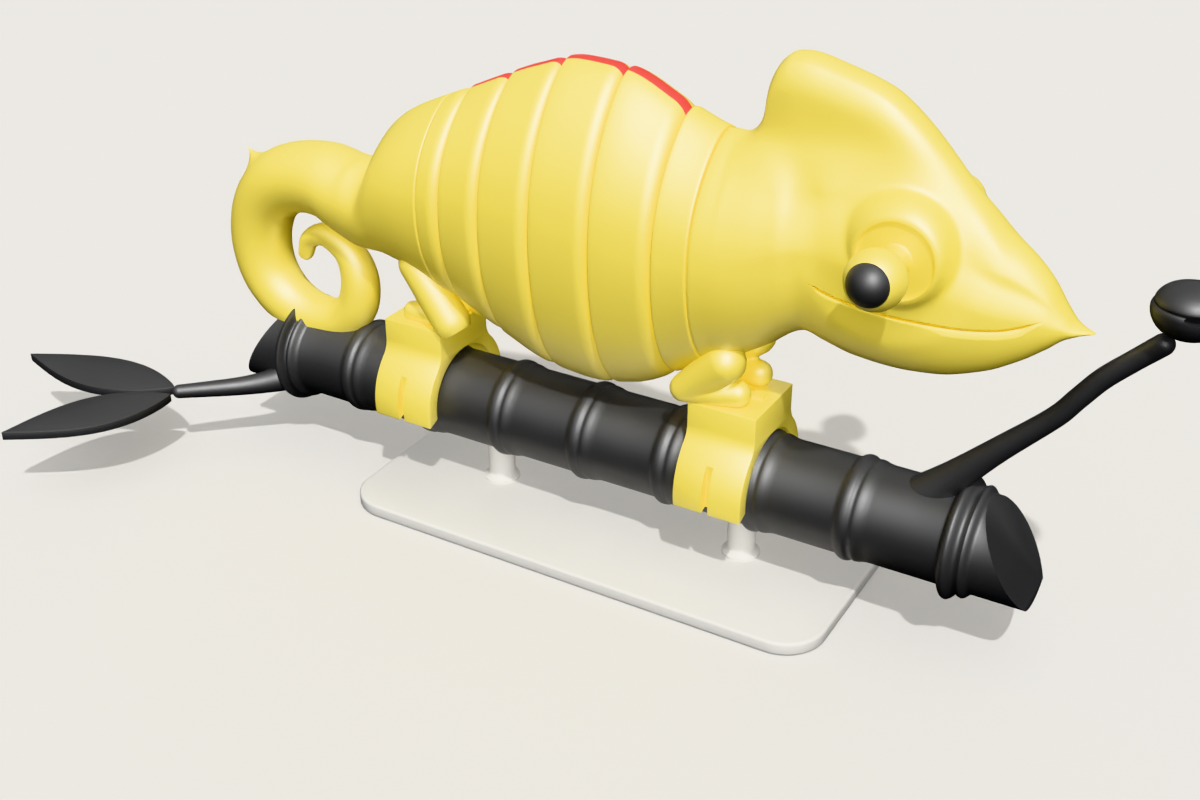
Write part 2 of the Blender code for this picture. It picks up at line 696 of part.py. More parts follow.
def branch_profile():
    """(x, radius) stations of the branch: a plain tube with a stepped ridge at each node."""
    marks = [(REAR_COLLAR_X, COLLAR_HEIGHT)]
    marks += [(NODE_PITCH * number, RIDGE_HEIGHT) for number in range(NODE_COUNT)]
    marks += [(FRONT_COLLAR_X, COLLAR_HEIGHT)]
    profile = [(BRANCH_START, BRANCH_RADIUS)]
    for x, height in marks:
        width = COLLAR_WIDTH if height == COLLAR_HEIGHT else RIDGE_WIDTH
        profile.append((x - RIDGE_STEP, BRANCH_RADIUS))
        profile.append((x, BRANCH_RADIUS + height))
        profile.append((x + 0.5 * width, BRANCH_RADIUS + 0.5 * height))
        profile.append((x + width, BRANCH_RADIUS))
    profile.append((BRANCH_END, BRANCH_RADIUS))
    return profile


def branch_tube(name, extra, material):
    rings = []
    for x, radius in branch_profile():
        ring = []
        for step in range(BRANCH_SIDES):
            angle = 2.0 * math.pi * (step + 0.5) / BRANCH_SIDES
            ring.append((x, (radius + extra) * math.cos(angle), (radius + extra) * math.sin(angle)))
        rings.append(ring)
    return new_piece(name, skin_rings(rings), material)


def end_wedge(foot_x, slope, outward):
    """The block that a slanted cut takes off one end of the branch."""
    high = 2.0 * BRANCH_RADIUS
    top_x = foot_x - slope * (high - CUT_FOOT)
    far_x = top_x + outward * CUTTER_REACH
    outline = [(foot_x, CUT_FOOT), (top_x, high), (far_x, high), (far_x, CUT_FOOT)]
    rings = []
    for y in (-high, high):
        rings.append([(x, y, z) for x, z in outline])
    return new_piece("end_wedge", skin_rings(rings), None)


def make_branch(black):
    branch = branch_tube("branch", 0.0, black)
    combine(branch, end_wedge(BRANCH_END, CUT_SLOPE, 1.0), "DIFFERENCE")
    combine(branch, end_wedge(BRANCH_START, -CUT_SLOPE, -1.0), "DIFFERENCE")
    return branch


def leaf_outline(root, tip, bulge_left, bulge_right, steps=8):
    """Two arcs between the root and the tip of a leaf, seen from above."""
    start = Vector(root)
    run = Vector(tip) - start
    across = Vector((-run.y, run.x)).normalized()
    outline = []
    for step in range(steps + 1):
        t = step / steps
        outline.append(start + run * t + across * bulge_left * math.sin(math.pi * t ** 0.85))
    for step in range(steps - 1, 0, -1):
        t = step / steps
        outline.append(start + run * t + across * bulge_right * math.sin(math.pi * t ** 0.85))
    return outline


def make_leaves(black):
    for name, (root, tip, left, right) in LEAVES.items():
        outline = leaf_outline(root, tip, left, right)
        rings = []
        for z in (LEAF_TOP - LEAF_THICKNESS, LEAF_TOP):
            rings.append([(point.x, point.y, z) for point in outline])
        new_piece(name, skin_rings(rings), black)


def make_twigs(black):
    for name, chain in (("twig_front", FRONT_TWIG), ("twig_rear", REAR_TWIG)):
        twig = limb(name, chain, -1.0, black)
        combine(twig, branch_tube("branch_cutter", FIT_GAP, None), "DIFFERENCE")


def make_bud(black):
    rings = []
    for row in range(BUD_ROWS + 1):
        angle = math.pi * (row + 0.12) / (BUD_ROWS + 0.24)
        radius = BUD_RADIUS * math.sin(angle) ** 0.9
        z = BUD_CENTRE[2] - BUD_HALF_HEIGHT * math.cos(angle)
        ring = []
        for step in range(BRANCH_SIDES):
            turn = 2.0 * math.pi * step / BRANCH_SIDES
            ring.append((BUD_CENTRE[0] + radius * math.cos(turn), radius * math.sin(turn), z))
        rings.append(ring)
    return new_piece("bud", skin_rings(rings), black)


def make_stand(material):
    half_x = 0.5 * BASE_LENGTH - BASE_CORNER
    half_y = 0.5 * BASE_WIDTH - BASE_CORNER
    outline = []
    for quarter, (sx, sy) in enumerate(((1, 1), (-1, 1), (-1, -1), (1, -1))):
        for step in range(5):
            angle = 0.5 * math.pi * (quarter + step / 4)
            x = BASE_CENTRE_X + sx * half_x + BASE_CORNER * math.cos(angle)
            outline.append((x, sy * half_y + BASE_CORNER * math.sin(angle)))
    rings = []
    bevel = BASE_BEVEL
    for inset, z in ((0.0, 0.0), (0.0, BASE_THICKNESS - bevel), (bevel, BASE_THICKNESS)):
        ring = []
        for x, y in outline:
            away = Vector((x - BASE_CENTRE_X, y))
            pulled = away * (1.0 - inset / away.length)
            ring.append((BASE_CENTRE_X + pulled.x, pulled.y, z - AXIS_HEIGHT))
        rings.append(ring)
    new_piece("stand_base", skin_rings(rings), material)
    for number, offset in ((1, -0.5), (2, 0.5)):
        x = BASE_CENTRE_X + offset * ROD_SPACING
        bottom = BASE_THICKNESS + FIT_GAP - AXIS_HEIGHT
        rings = []
        for z in (bottom, -BRANCH_RADIUS + 4.0):
            ring = []
            for step in range(ROD_SIDES):
                angle = 2.0 * math.pi * step / ROD_SIDES
                ring.append((x + ROD_RADIUS * math.cos(angle), ROD_RADIUS * math.sin(angle), z))
            rings.append(ring)
        rod = new_piece(f"stand_rod_{number}", skin_rings(rings), material)
        combine(rod, branch_tube("branch_cutter", FIT_GAP, None), "DIFFERENCE")


def place_figure():
    """Hang every piece on one empty that sets the figure over the middle of its stand."""
    carrier = bpy.data.objects.new("figure_origin", None)
    carrier.location = (-BASE_CENTRE_X * MM, 0.0, AXIS_HEIGHT * MM)
    pieces = [item for item in bpy.data.objects if item.type == "MESH"]
    bpy.context.collection.objects.link(carrier)
    for piece in pieces:
        piece.parent = carrier


def main():
    clear_scene()
    yellow = plastic("yellow_plastic", (0.86, 0.68, 0.13), 0.42)
    red = plastic("red_plastic", (0.72, 0.04, 0.03), 0.4)
    black = plastic("black_plastic", (0.013, 0.013, 0.015), 0.4)
    stand = plastic("stand_plastic", (0.72, 0.69, 0.63), 0.5)
    make_trunk(yellow, red)
    make_hips(yellow)
    make_neck(yellow)
    make_head(yellow)
    make_eyes(yellow, black)
    make_tail(yellow)
    make_legs(yellow)
    for name, start in CLIP_STARTS.items():
        make_clip(name, start, yellow)
    make_branch(black)
    make_twigs(black)
    make_leaves(black)
    make_bud(black)
    make_stand(stand)
    place_figure()


main()
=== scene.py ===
import math

import bpy
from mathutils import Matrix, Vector


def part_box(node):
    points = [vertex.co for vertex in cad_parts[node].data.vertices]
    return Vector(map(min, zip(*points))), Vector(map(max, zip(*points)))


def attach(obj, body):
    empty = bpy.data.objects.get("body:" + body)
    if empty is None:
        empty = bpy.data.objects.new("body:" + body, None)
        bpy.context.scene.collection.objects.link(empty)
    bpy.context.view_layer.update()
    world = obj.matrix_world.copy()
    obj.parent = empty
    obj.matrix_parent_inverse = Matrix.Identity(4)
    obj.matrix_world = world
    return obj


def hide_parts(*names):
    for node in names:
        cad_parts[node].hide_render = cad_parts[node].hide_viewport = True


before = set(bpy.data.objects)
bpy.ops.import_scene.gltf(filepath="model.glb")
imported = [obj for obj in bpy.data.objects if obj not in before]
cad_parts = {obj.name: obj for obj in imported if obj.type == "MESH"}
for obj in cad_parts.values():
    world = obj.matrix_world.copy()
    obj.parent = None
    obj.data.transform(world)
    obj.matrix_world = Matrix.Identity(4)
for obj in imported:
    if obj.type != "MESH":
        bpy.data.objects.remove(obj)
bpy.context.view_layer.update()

# A printed toy chameleon that grips a bamboo branch with two clips, on a low display stand.
# Pieces are modelled in millimetres round the branch's own origin (X along the branch towards the
# head, Z up, the animal's right is -Y) and then brought to the frame by settle().

branchLow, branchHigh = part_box("branch")
branchStart = -32.2  # where the branch's rear end is, from its origin
millimetre = 0.001
figureOrigin = Vector((branchLow.x - branchStart * millimetre, 0.0,
                       0.5 * (branchLow.z + branchHigh.z)))
right = -1.0  # the animal's right side, along Y
sharpAngle = math.radians(35.0)  # edges that turn more than this stay sharp
bevelAngle = math.radians(40.0)  # edges that turn more than this get rounded


# small helpers for modelling

def clearSelection():
    if bpy.context.mode != "OBJECT":
        bpy.ops.object.mode_set(mode="OBJECT")
    bpy.ops.object.select_all(action="DESELECT")


def pickOnly(piece):
    clearSelection()
    piece.select_set(True)
    bpy.context.view_layer.objects.active = piece


def applyModifier(piece, kind, **settings):
    pickOnly(piece)
    modifier = piece.modifiers.new(kind.lower(), kind)
    for name, value in settings.items():
        setattr(modifier, name, value)
    bpy.ops.object.modifier_apply(modifier=modifier.name)


def cutWith(piece, cutter, operation="DIFFERENCE"):
    applyModifier(piece, "BOOLEAN", object=cutter, operation=operation, solver="EXACT")
    bpy.data.objects.remove(cutter, do_unlink=True)


def roundEdges(piece, width, segments):
    applyModifier(piece, "BEVEL", width=width, segments=segments, limit_method="ANGLE",
                  angle_limit=bevelAngle)


def joinAll(pieces, name):
    pickOnly(pieces[0])
    for piece in pieces[1:]:
        piece.select_set(True)
    bpy.ops.object.join()
    pieces[0].name = name
    return pieces[0]


def editAll():
    bpy.ops.object.mode_set(mode="EDIT")
    bpy.ops.mesh.select_all(action="SELECT")


def faceOutwards(piece):
    pickOnly(piece)
    editAll()
    bpy.ops.mesh.normals_make_consistent(inside=False)
    bpy.ops.object.mode_set(mode="OBJECT")


def ribbedTube(name, ribCount, sideCount):
    clearSelection()
    bpy.ops.mesh.primitive_circle_add(vertices=sideCount, radius=1.0, fill_type="NGON",
                                      rotation=(0.0, 0.5 * math.pi, 0.0))
    piece = bpy.context.object
    piece.name = name
    bpy.ops.object.transform_apply(location=False, rotation=True, scale=False)
    editAll()
    for rib in range(ribCount - 1):
        bpy.ops.mesh.extrude_region_move(TRANSFORM_OT_translate={"value": (1.0, 0.0, 0.0)})
    bpy.ops.object.mode_set(mode="OBJECT")
    return piece


def shapeRibs(piece, placePoint):
    for vertex in piece.data.vertices:
        rib = round(vertex.co.x)
        turn = math.atan2(vertex.co.y, vertex.co.z)  # 0 is up, and it grows towards +Y
        vertex.co = placePoint(rib, turn)
    faceOutwards(piece)
    return piece


def outlineBlock(name, points, push):
    clearSelection()
    bpy.ops.mesh.primitive_circle_add(vertices=len(points), radius=10.0, fill_type="NGON")
    piece = bpy.context.object
    piece.name = name
    for vertex, point in zip(piece.data.vertices, points):
        vertex.co = point
    editAll()
    bpy.ops.mesh.extrude_region_move(TRANSFORM_OT_translate={"value": push})
    bpy.ops.object.mode_set(mode="OBJECT")
    faceOutwards(piece)
    return piece


def blockBetween(name, low, high):
    clearSelection()
    middle = [0.5 * (low[axis] + high[axis]) for axis in range(3)]
    size = [high[axis] - low[axis] for axis in range(3)]
    bpy.ops.mesh.primitive_cube_add(size=1.0, location=middle, scale=size)
    bpy.ops.object.transform_apply(location=True, rotation=True, scale=True)
    bpy.context.object.name = name
    return bpy.context.object


def turnedPiece(name, profile, centre, axis, sideCount):
    # profile is (radius, distance along the axis); axis is 0, 1 or 2 for X, Y or Z
    piece = ribbedTube(name, len(profile), sideCount)

    def placePoint(rib, turn):
        radius, along = profile[rib]
        point = [0.0, 0.0, 0.0]
        point[axis] = along
        point[(axis + 1) % 3] = radius * math.sin(turn)
        point[(axis + 2) % 3] = radius * math.cos(turn)
        return [centre[part] + point[part] for part in range(3)]

    return shapeRibs(piece, placePoint)


def copyOf(piece, name):
    # a copy with its own mesh
    pickOnly(piece)
    bpy.ops.object.duplicate(linked=False)
    copy = bpy.context.object
    copy.name = name
    return copy


def copyAlong(piece, name, shift):
    # a copy that is moved along the branch
    copy = copyOf(piece, name)
    copy.location.x += shift
    bpy.ops.object.transform_apply(location=True, rotation=False, scale=False)
    return copy


def otherSide(piece, name):
    # a mirrored copy, for the animal's left
    copy = copyOf(piece, name)
    copy.scale.y = -1.0
    bpy.ops.object.transform_apply(location=False, rotation=False, scale=True)
    faceOutwards(copy)
    return copy


def settle(piece, slotName, nodes):
    # brings a finished piece to metres and to the frame, with its finish
    pickOnly(piece)
    bpy.ops.object.shade_smooth_by_angle(angle=sharpAngle)
    piece.scale = (millimetre, millimetre, millimetre)
    piece.location = figureOrigin
    bpy.ops.object.transform_apply(location=True, rotation=True, scale=True)
    piece.data.name = piece.name
    piece.data.materials.clear()
    piece.data.materials.append(finishes[slotName])
    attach(piece, "root")
    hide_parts(*nodes)


def settlePair(piece, kind, slotName):
    left = otherSide(piece, f"{kind}_left")
    settle(piece, slotName, [f"{kind}_right"])
    settle(left, slotName, [f"{kind}_left"])


def smoothLine(points):
    # follows the given (place, value) points without running over them
    places = [point[0] for point in points]
    values = [point[1] for point in points]
    slopes = [(values[i + 1] - values[i]) / (places[i + 1] - places[i])
              for i in range(len(points) - 1)]
    tangents = [slopes[0]]
    for before, after in zip(slopes, slopes[1:]):
        turning = before * after <= 0.0
        tangents.append(0.0 if turning else 2.0 * before * after / (before + after))
    tangents.append(slopes[-1])

    def valueAt(place):
        place = min(max(place, places[0]), places[-1])
        i = 0
        while i < len(slopes) - 1 and place > places[i + 1]:
            i += 1
        run = places[i + 1] - places[i]
        t = (place - places[i]) / run
        value = values[i] * (2 * t ** 3 - 3 * t ** 2 + 1)
        value += values[i + 1] * (3 * t ** 2 - 2 * t ** 3)
        value += tangents[i] * run * (t ** 3 - 2 * t ** 2 + t)
        value += tangents[i + 1] * run * (t ** 3 - t ** 2)
        return value

    return valueAt


def throughPoints(points):
    # an even, round-bending curve through points, by position counted in points
    def pointAt(position):
        position = min(max(position, 0.0), len(points) - 1.0)
        i = min(int(position), len(points) - 2)
        t = position - i
        here, there = points[i], points[i + 1]
        before = points[i - 1] if i > 0 else [2 * a - b for a, b in zip(here, there)]
        after = points[i + 2] if i + 2 < len(points) else [2 * b - a for a, b in zip(here, there)]
        result = []
        for p0, p1, p2, p3 in zip(before, here, there, after):
            result.append(0.5 * (2 * p1 + (p2 - p0) * t + (2 * p0 - 5 * p1 + 4 * p2 - p3) * t * t
                                 + (3 * p1 - p0 - 3 * p2 + p3) * t ** 3))
        return result

    return pointAt


def spread(start, end, step):
    # even places from start up to but without end, about a step apart
    count = max(1, math.ceil((end - start) / step))
    return [start + (end - start) * i / count for i in range(count)]


def ramp(distance, reach):
    # 0 up to a distance of 0, then rising to 1 at reach
    return min(max(distance / reach, 0.0), 1.0)


def bump(distance, reach):
    # 1 in the middle, falling softly to 0 at reach
    share = min(abs(distance) / reach, 1.0)
    return (1.0 - share * share) ** 2


def roundEnd(middle, axis, radius, angles):
    # ribs (middle, direction, radius) of the ball at a tube's end, at angles in degrees
    ribs = []
    for angle in angles:
        lean = math.radians(angle)
        ribs.append((middle + axis * radius * math.sin(lean), axis, radius * math.cos(lean)))
    return ribs


def tubeAlong(name, ribs, level, sideCount):
    # a round tube through ribs (middle, direction, radius), with level across all of them
    def placePoint(rib, turn):
        middle, axis, radius = ribs[rib]
        across = axis.cross(level).normalized()
        other = axis.cross(across)
        return middle + (across * math.cos(turn) + other * math.sin(turn)) * radius

    return shapeRibs(ribbedTube(name, len(ribs), sideCount), placePoint)


# finishes

finishLooks = {
    "yellow": {"light": (0.88, 0.72, 0.105), "deep": (0.865, 0.70, 0.09), "roughness": 0.51,
               "specular": 1.0, "ior": 2.1},
    "red": {"light": (0.86, 0.07, 0.045), "deep": (0.80, 0.055, 0.035), "roughness": 0.42,
            "specular": 0.4, "ior": 1.5},
    "black": {"light": (0.037, 0.037, 0.038), "deep": (0.032, 0.032, 0.033), "roughness": 0.52,
              "specular": 0.5, "ior": 1.85},
    "stand": {"light": (0.60, 0.585, 0.55), "deep": (0.57, 0.555, 0.52), "roughness": 0.6,
              "specular": 0.2, "ior": 1.5},
    "mottleScale": 60.0,  # clouds of colour, per metre
    "mottleDetail": 4.0,
    "glossVariation": 0.05,
    "grainScale": 2600.0,  # fine moulded grain, per metre
    "grainDetail": 2.0,
    "grainStrength": 0.35,
    "grainDepth": 0.00002,
}


def satinPlastic(name, look):
    material = bpy.data.materials.new(name)
    material.use_nodes = True
    nodes, links = material.node_tree.nodes, material.node_tree.links
    shader = nodes["Principled BSDF"]
    place = nodes.new("ShaderNodeTexCoord")

    clouds = nodes.new("ShaderNodeTexNoise")
    clouds.inputs["Scale"].default_value = finishLooks["mottleScale"]
    clouds.inputs["Detail"].default_value = finishLooks["mottleDetail"]
    links.new(place.outputs["Object"], clouds.inputs["Vector"])
    tint = nodes.new("ShaderNodeMix")
    tint.data_type = "RGBA"
    tint.inputs[6].default_value = (*look["deep"], 1.0)  # colour sockets A and B
    tint.inputs[7].default_value = (*look["light"], 1.0)
    links.new(clouds.outputs["Fac"], tint.inputs[0])

    grain = nodes.new("ShaderNodeTexNoise")
    grain.inputs["Scale"].default_value = finishLooks["grainScale"]
    grain.inputs["Detail"].default_value = finishLooks["grainDetail"]
    links.new(place.outputs["Object"], grain.inputs["Vector"])
    polish = nodes.new("ShaderNodeMapRange")  # the gloss varies a little over the surface
    polish.inputs["To Min"].default_value = look["roughness"] - finishLooks["glossVariation"]
    polish.inputs["To Max"].default_value = look["roughness"] + finishLooks["glossVariation"]
    links.new(clouds.outputs["Fac"], polish.inputs["Value"])
    relief = nodes.new("ShaderNodeBump")
    relief.inputs["Strength"].default_value = finishLooks["grainStrength"]
    relief.inputs["Distance"].default_value = finishLooks["grainDepth"]
    links.new(grain.outputs["Fac"], relief.inputs["Height"])

    links.new(tint.outputs[2], shader.inputs["Base Color"])
    links.new(polish.outputs["Result"], shader.inputs["Roughness"])
    links.new(relief.outputs["Normal"], shader.inputs["Normal"])
    shader.inputs["Specular IOR Level"].default_value = look["specular"]
    shader.inputs["IOR"].default_value = look["ior"]
    return material


finishes = {f"{name}_plastic": satinPlastic(f"{name}Plastic", finishLooks[name])
            for name in ("yellow", "red", "black", "stand")}


# the body's outlines, shared by trunk, hips, neck and head

bodyLines = {
    # each line is (place along X, height or half width)
    "back": (
        (3.0, 51.4), (7.2, 50.3), (8.7, 53.4), (10.2, 57.0), (12.6, 60.6), (16.0, 63.5),
        (20.0, 65.8), (28.6, 69.6), (38.5, 74.1), (48.5, 78.3), (58.6, 81.1), (68.4, 80.5),
        (80.6, 75.4), (88.8, 72.4), (92.2, 71.9), (94.8, 73.4), (96.8, 76.8), (97.6, 80.0),
        (98.2, 84.0), (99.8, 86.9), (101.8, 88.2), (104.0, 88.4), (110.0, 87.2), (119.0, 84.4),
        (125.0, 80.4), (132.0, 73.9), (138.0, 67.6), (143.0, 62.7), (148.0, 58.8), (151.0, 55.8),
        (154.0, 51.6), (156.2, 49.0), (158.0, 48.1), (159.4, 47.8)),
    "belly": (
        (3.0, 30.6), (8.0, 31.0), (16.0, 29.6), (22.0, 27.8), (32.4, 23.8), (42.8, 18.9),
        (52.8, 15.0), (62.8, 14.0), (72.4, 15.8), (86.0, 23.4), (95.6, 28.6), (101.4, 32.4),
        (107.0, 36.6), (109.0, 37.2), (113.0, 36.2), (119.0, 34.6), (127.0, 34.0), (134.0, 34.5),
        (142.0, 36.9), (148.0, 40.3), (152.0, 43.4), (155.0, 46.0), (157.6, 47.1), (159.4, 47.4)),
    "skullTop": (  # the skull's roof, under the casque's blade
        (88.8, 71.9), (94.0, 72.4), (100.0, 73.6), (108.0, 74.6), (116.0, 75.4), (124.0, 75.2),
        (130.0, 72.6), (136.0, 68.4), (140.0, 66.0)),
    "halfWidth": (
        (3.0, 10.1), (8.0, 11.0), (12.0, 12.2), (20.0, 13.6), (26.6, 14.2), (36.0, 15.2),
        (46.0, 16.1), (58.0, 16.6), (68.0, 16.6), (78.0, 16.2), (86.0, 15.7), (92.0, 15.2),
        (98.0, 14.3), (104.0, 13.2), (110.0, 12.3), (118.0, 12.1), (124.0, 11.9),
        (130.0, 11.2), (136.0, 9.95), (142.0, 8.35), (148.0, 6.4), (152.0, 4.8), (156.0, 2.6),
        (158.0, 1.2), (159.4, 0.3)),
    "crestHalfWidth": (  # of the casque's blade
        (92.0, 2.0), (97.0, 4.2), (104.0, 5.2), (116.0, 5.2), (126.0, 5.0), (136.0, 4.2),
        (146.0, 2.8), (156.0, 1.0), (159.4, 0.2)),
    "backTaper": 0.28,  # how much the back narrows towards its top
    "backTaperEnd": 104.0,  # where that ends, and over what length it fades out
    "backTaperFade": 14.0,
    "skullStart": 92.0,  # where neck turns to skull, and over what length
    "skullFade": 14.0,
    "gable": 0.55,  # how much the skull's shoulders slope
    "jawFullness": 0.7,  # how much squarer than an ellipse the jaw is
    "bladeShare": 0.45,  # the blade's half width is at most this share of the height
    "bladeFade": 0.6,  # it grows in over this share of the section's upper half
    "bladeRound": 1.3,  # height of its rounded top, in half widths
    "bladeBlend": 6.5,  # how softly it grows out of the skull
    "bladeFull": 3.0,  # half width from which that softness is full
    "sideCount": 144,
}

back = smoothLine(bodyLines["back"])
belly = smoothLine(bodyLines["belly"])
skullTop = smoothLine(bodyLines["skullTop"])
halfWidth = smoothLine(bodyLines["halfWidth"])
crestHalfWidth = smoothLine(bodyLines["crestHalfWidth"])


def sideWidth(x, z, top, bottom):
    # half the body's width at height z of the section at x
    crown = min(top, skullTop(x)) if x > bodyLines["skullTop"][0][0] else top
    middle = 0.5 * (crown + bottom)
    reach = 0.5 * (crown - bottom)
    level = min(abs(z - middle) / reach, 1.0)
    roundness = 2.0  # 2 is an ellipse, less is more like a gable
    skull = ramp(x - bodyLines["skullStart"], bodyLines["skullFade"])
    roundness += skull * (bodyLines["jawFullness"] if z < middle else -bodyLines["gable"])
    trunkWidth = halfWidth(x) * (1.0 - level ** roundness) ** (1.0 / roundness)
    if z > middle:
        fade = ramp(bodyLines["backTaperEnd"] - x, bodyLines["backTaperFade"])
        trunkWidth *= 1.0 - bodyLines["backTaper"] * fade * level ** 3
    if x <= bodyLines["crestHalfWidth"][0][0]:
        return trunkWidth
    blade = min(crestHalfWidth(x), bodyLines["bladeShare"] * (top - bottom))
    fade = ramp(z - middle, bodyLines["bladeFade"] * reach)
    belowTop = min((top - z) / (bodyLines["bladeRound"] * blade), 1.0)
    blade *= fade * math.sqrt(max(belowTop * (2.0 - belowTop), 0.0))
    blend = bodyLines["bladeBlend"] * min(1.0, blade / bodyLines["bladeFull"])
    meet = max(blend - abs(trunkWidth - blade), 0.0) / max(blend, 1e-6)
    return max(trunkWidth, blade) + 0.25 * meet * meet * blend


def bodyPoint(x, inset, turn):
    # a point of the body's outline at x, drawn in by inset
    fullTop, fullBottom = back(x), belly(x)
    fullMiddle, fullReach = 0.5 * (fullTop + fullBottom), 0.5 * (fullTop - fullBottom)
    height = math.cos(turn)
    width = sideWidth(x, fullMiddle + fullReach * height, fullTop, fullBottom)
    width *= max(halfWidth(x) - inset, 0.1) / halfWidth(x)
    if abs(math.sin(turn)) < 1e-6:
        width = 0.0
    return x, math.copysign(width, math.sin(turn)), fullMiddle + (fullReach - inset) * height


def bodyLength(name, stations, insets):
    piece = ribbedTube(name, len(stations), bodyLines["sideCount"])
    return shapeRibs(piece, lambda rib, turn: bodyPoint(stations[rib], insets[rib], turn))


def curlIn(distance, edge, depth):
    # how far the surface is drawn in at a distance from a rounded edge
    if distance >= edge:
        return 0.0
    fall = 1.0 - distance / edge
    return depth * (1.0 - math.sqrt(1.0 - fall * fall))


# trunk: six puffed rings and four crest inlays

trunk = {
    "planes": (26.6, 32.2, 42.4, 54.6, 68.0, 81.2, 88.8),  # where the rings start and end
    "gap": 0.1,
    "headEdge": 2.8,  # length over which a ring's head-side edge rolls in
    "grooveDepth": 2.4,  # and how far
    "tailEdge": 0.8,
    "tailDepth": 1.6,
    "seamEdge": 0.5,  # the same for the plain seams at both ends of the trunk
    "seamDepth": 0.35,
    "edgeSteps": 10,
    "sectionStep": 0.8,
    "crestHalfWidth": 1.5,
    "crestSink": 4.2,  # how far an inlay reaches down into its ring
    "crestGap": 0.06,
    "cutterEnds": 5.0,  # how far the inlays' cutters stick out past a ring
    "cutterTop": 120.0,
}


def edgeSteps(edge):
    # distances from a rounded edge, closer together near it, from the far end in
    steps = trunk["edgeSteps"]
    return [edge * (1.0 - math.sin(0.5 * math.pi * i / steps)) for i in range(steps + 1)]


def makeRing(number):
    start = trunk["planes"][number] + 0.5 * trunk["gap"]
    end = trunk["planes"][number + 1] - 0.5 * trunk["gap"]
    startEdge, startDepth = trunk["tailEdge"], trunk["tailDepth"]
    endEdge, endDepth = trunk["headEdge"], trunk["grooveDepth"]
    if number == 0:
        startEdge, startDepth = trunk["seamEdge"], trunk["seamDepth"]
    if number == len(trunk["planes"]) - 2:
        endEdge, endDepth = trunk["seamEdge"], trunk["seamDepth"]
    stations = sorted(start + step for step in edgeSteps(startEdge))
    stations += spread(start + startEdge, end - endEdge, trunk["sectionStep"])[1:]
    stations += [end - step for step in edgeSteps(endEdge)]
    insets = [max(curlIn(x - start, startEdge, startDepth), curlIn(end - x, endEdge, endDepth))
              for x in stations]
    return bodyLength(f"ring_{number + 1}", stations, insets)


def inlayCrest(ring, number, start, end):
    floor = min(back(start), back(end)) - trunk["crestSink"]
    reach, gap, top = trunk["crestHalfWidth"], trunk["crestGap"], trunk["cutterTop"]
    start, end = start - trunk["cutterEnds"], end + trunk["cutterEnds"]
    crest = copyOf(ring, f"crest_{number}")
    block = blockBetween("crestBlock", (start, -reach, floor), (end, reach, top))
    cutWith(crest, block, "INTERSECT")
    slot = blockBetween("crestSlot", (start, -reach - gap, floor - gap), (end, reach + gap, top))
    cutWith(ring, slot)
    return crest


def makeTrunk():
    lastRing = len(trunk["planes"]) - 2
    for number in range(lastRing + 1):
        ring = makeRing(number)
        if 0 < number < lastRing:
            crest = inlayCrest(ring, number, trunk["planes"][number], trunk["planes"][number + 1])
            settle(crest, "red_plastic", [f"crest_{number}"])
        settle(ring, "yellow_plastic", [f"ring_{number + 1}"])
    print("trunk rings and crest done")


# hips and tail, one moulding

tail = {
    "line": (  # along the tail's middle, as (x, z, radius)
        (2.7, 41.0, 10.2), (-1.2, 42.0, 9.3), (-6.6, 43.6, 8.6), (-14.2, 43.3, 8.0),
        (-21.0, 40.8, 7.7), (-26.4, 35.6, 7.3), (-29.2, 28.6, 7.0), (-29.3, 21.5, 6.7),
        (-27.0, 15.6, 6.4), (-22.0, 11.0, 6.0), (-14.6, 9.0, 5.3), (-7.2, 10.0, 4.9),
        (-2.4, 14.6, 4.7), (-1.1, 21.6, 4.3), (-3.6, 27.5, 3.5), (-9.6, 30.3, 2.8),
        (-14.6, 28.4, 2.2), (-16.4, 24.7, 1.8)),
    "ribsPerStation": 12,
    "sideCount": 112,
    "hipStart": 3.0,
    "hipStep": 0.45,
    "rootPlace": 1.5,  # round here the tail grows softly out of the hips
    "rootReach": 9.0,
    "rootLow": 31.0,  # lowest height of that softening, and how it fades in
    "rootFade": 3.0,
    "thornAt": 4.45,  # position of the thorn along the line
    "thornTip": (-31.0, 0.0, 47.9),
    "thornReach": 4.6,
    "thornCurve": 2.3,
    "branchGap": 0.05,
}


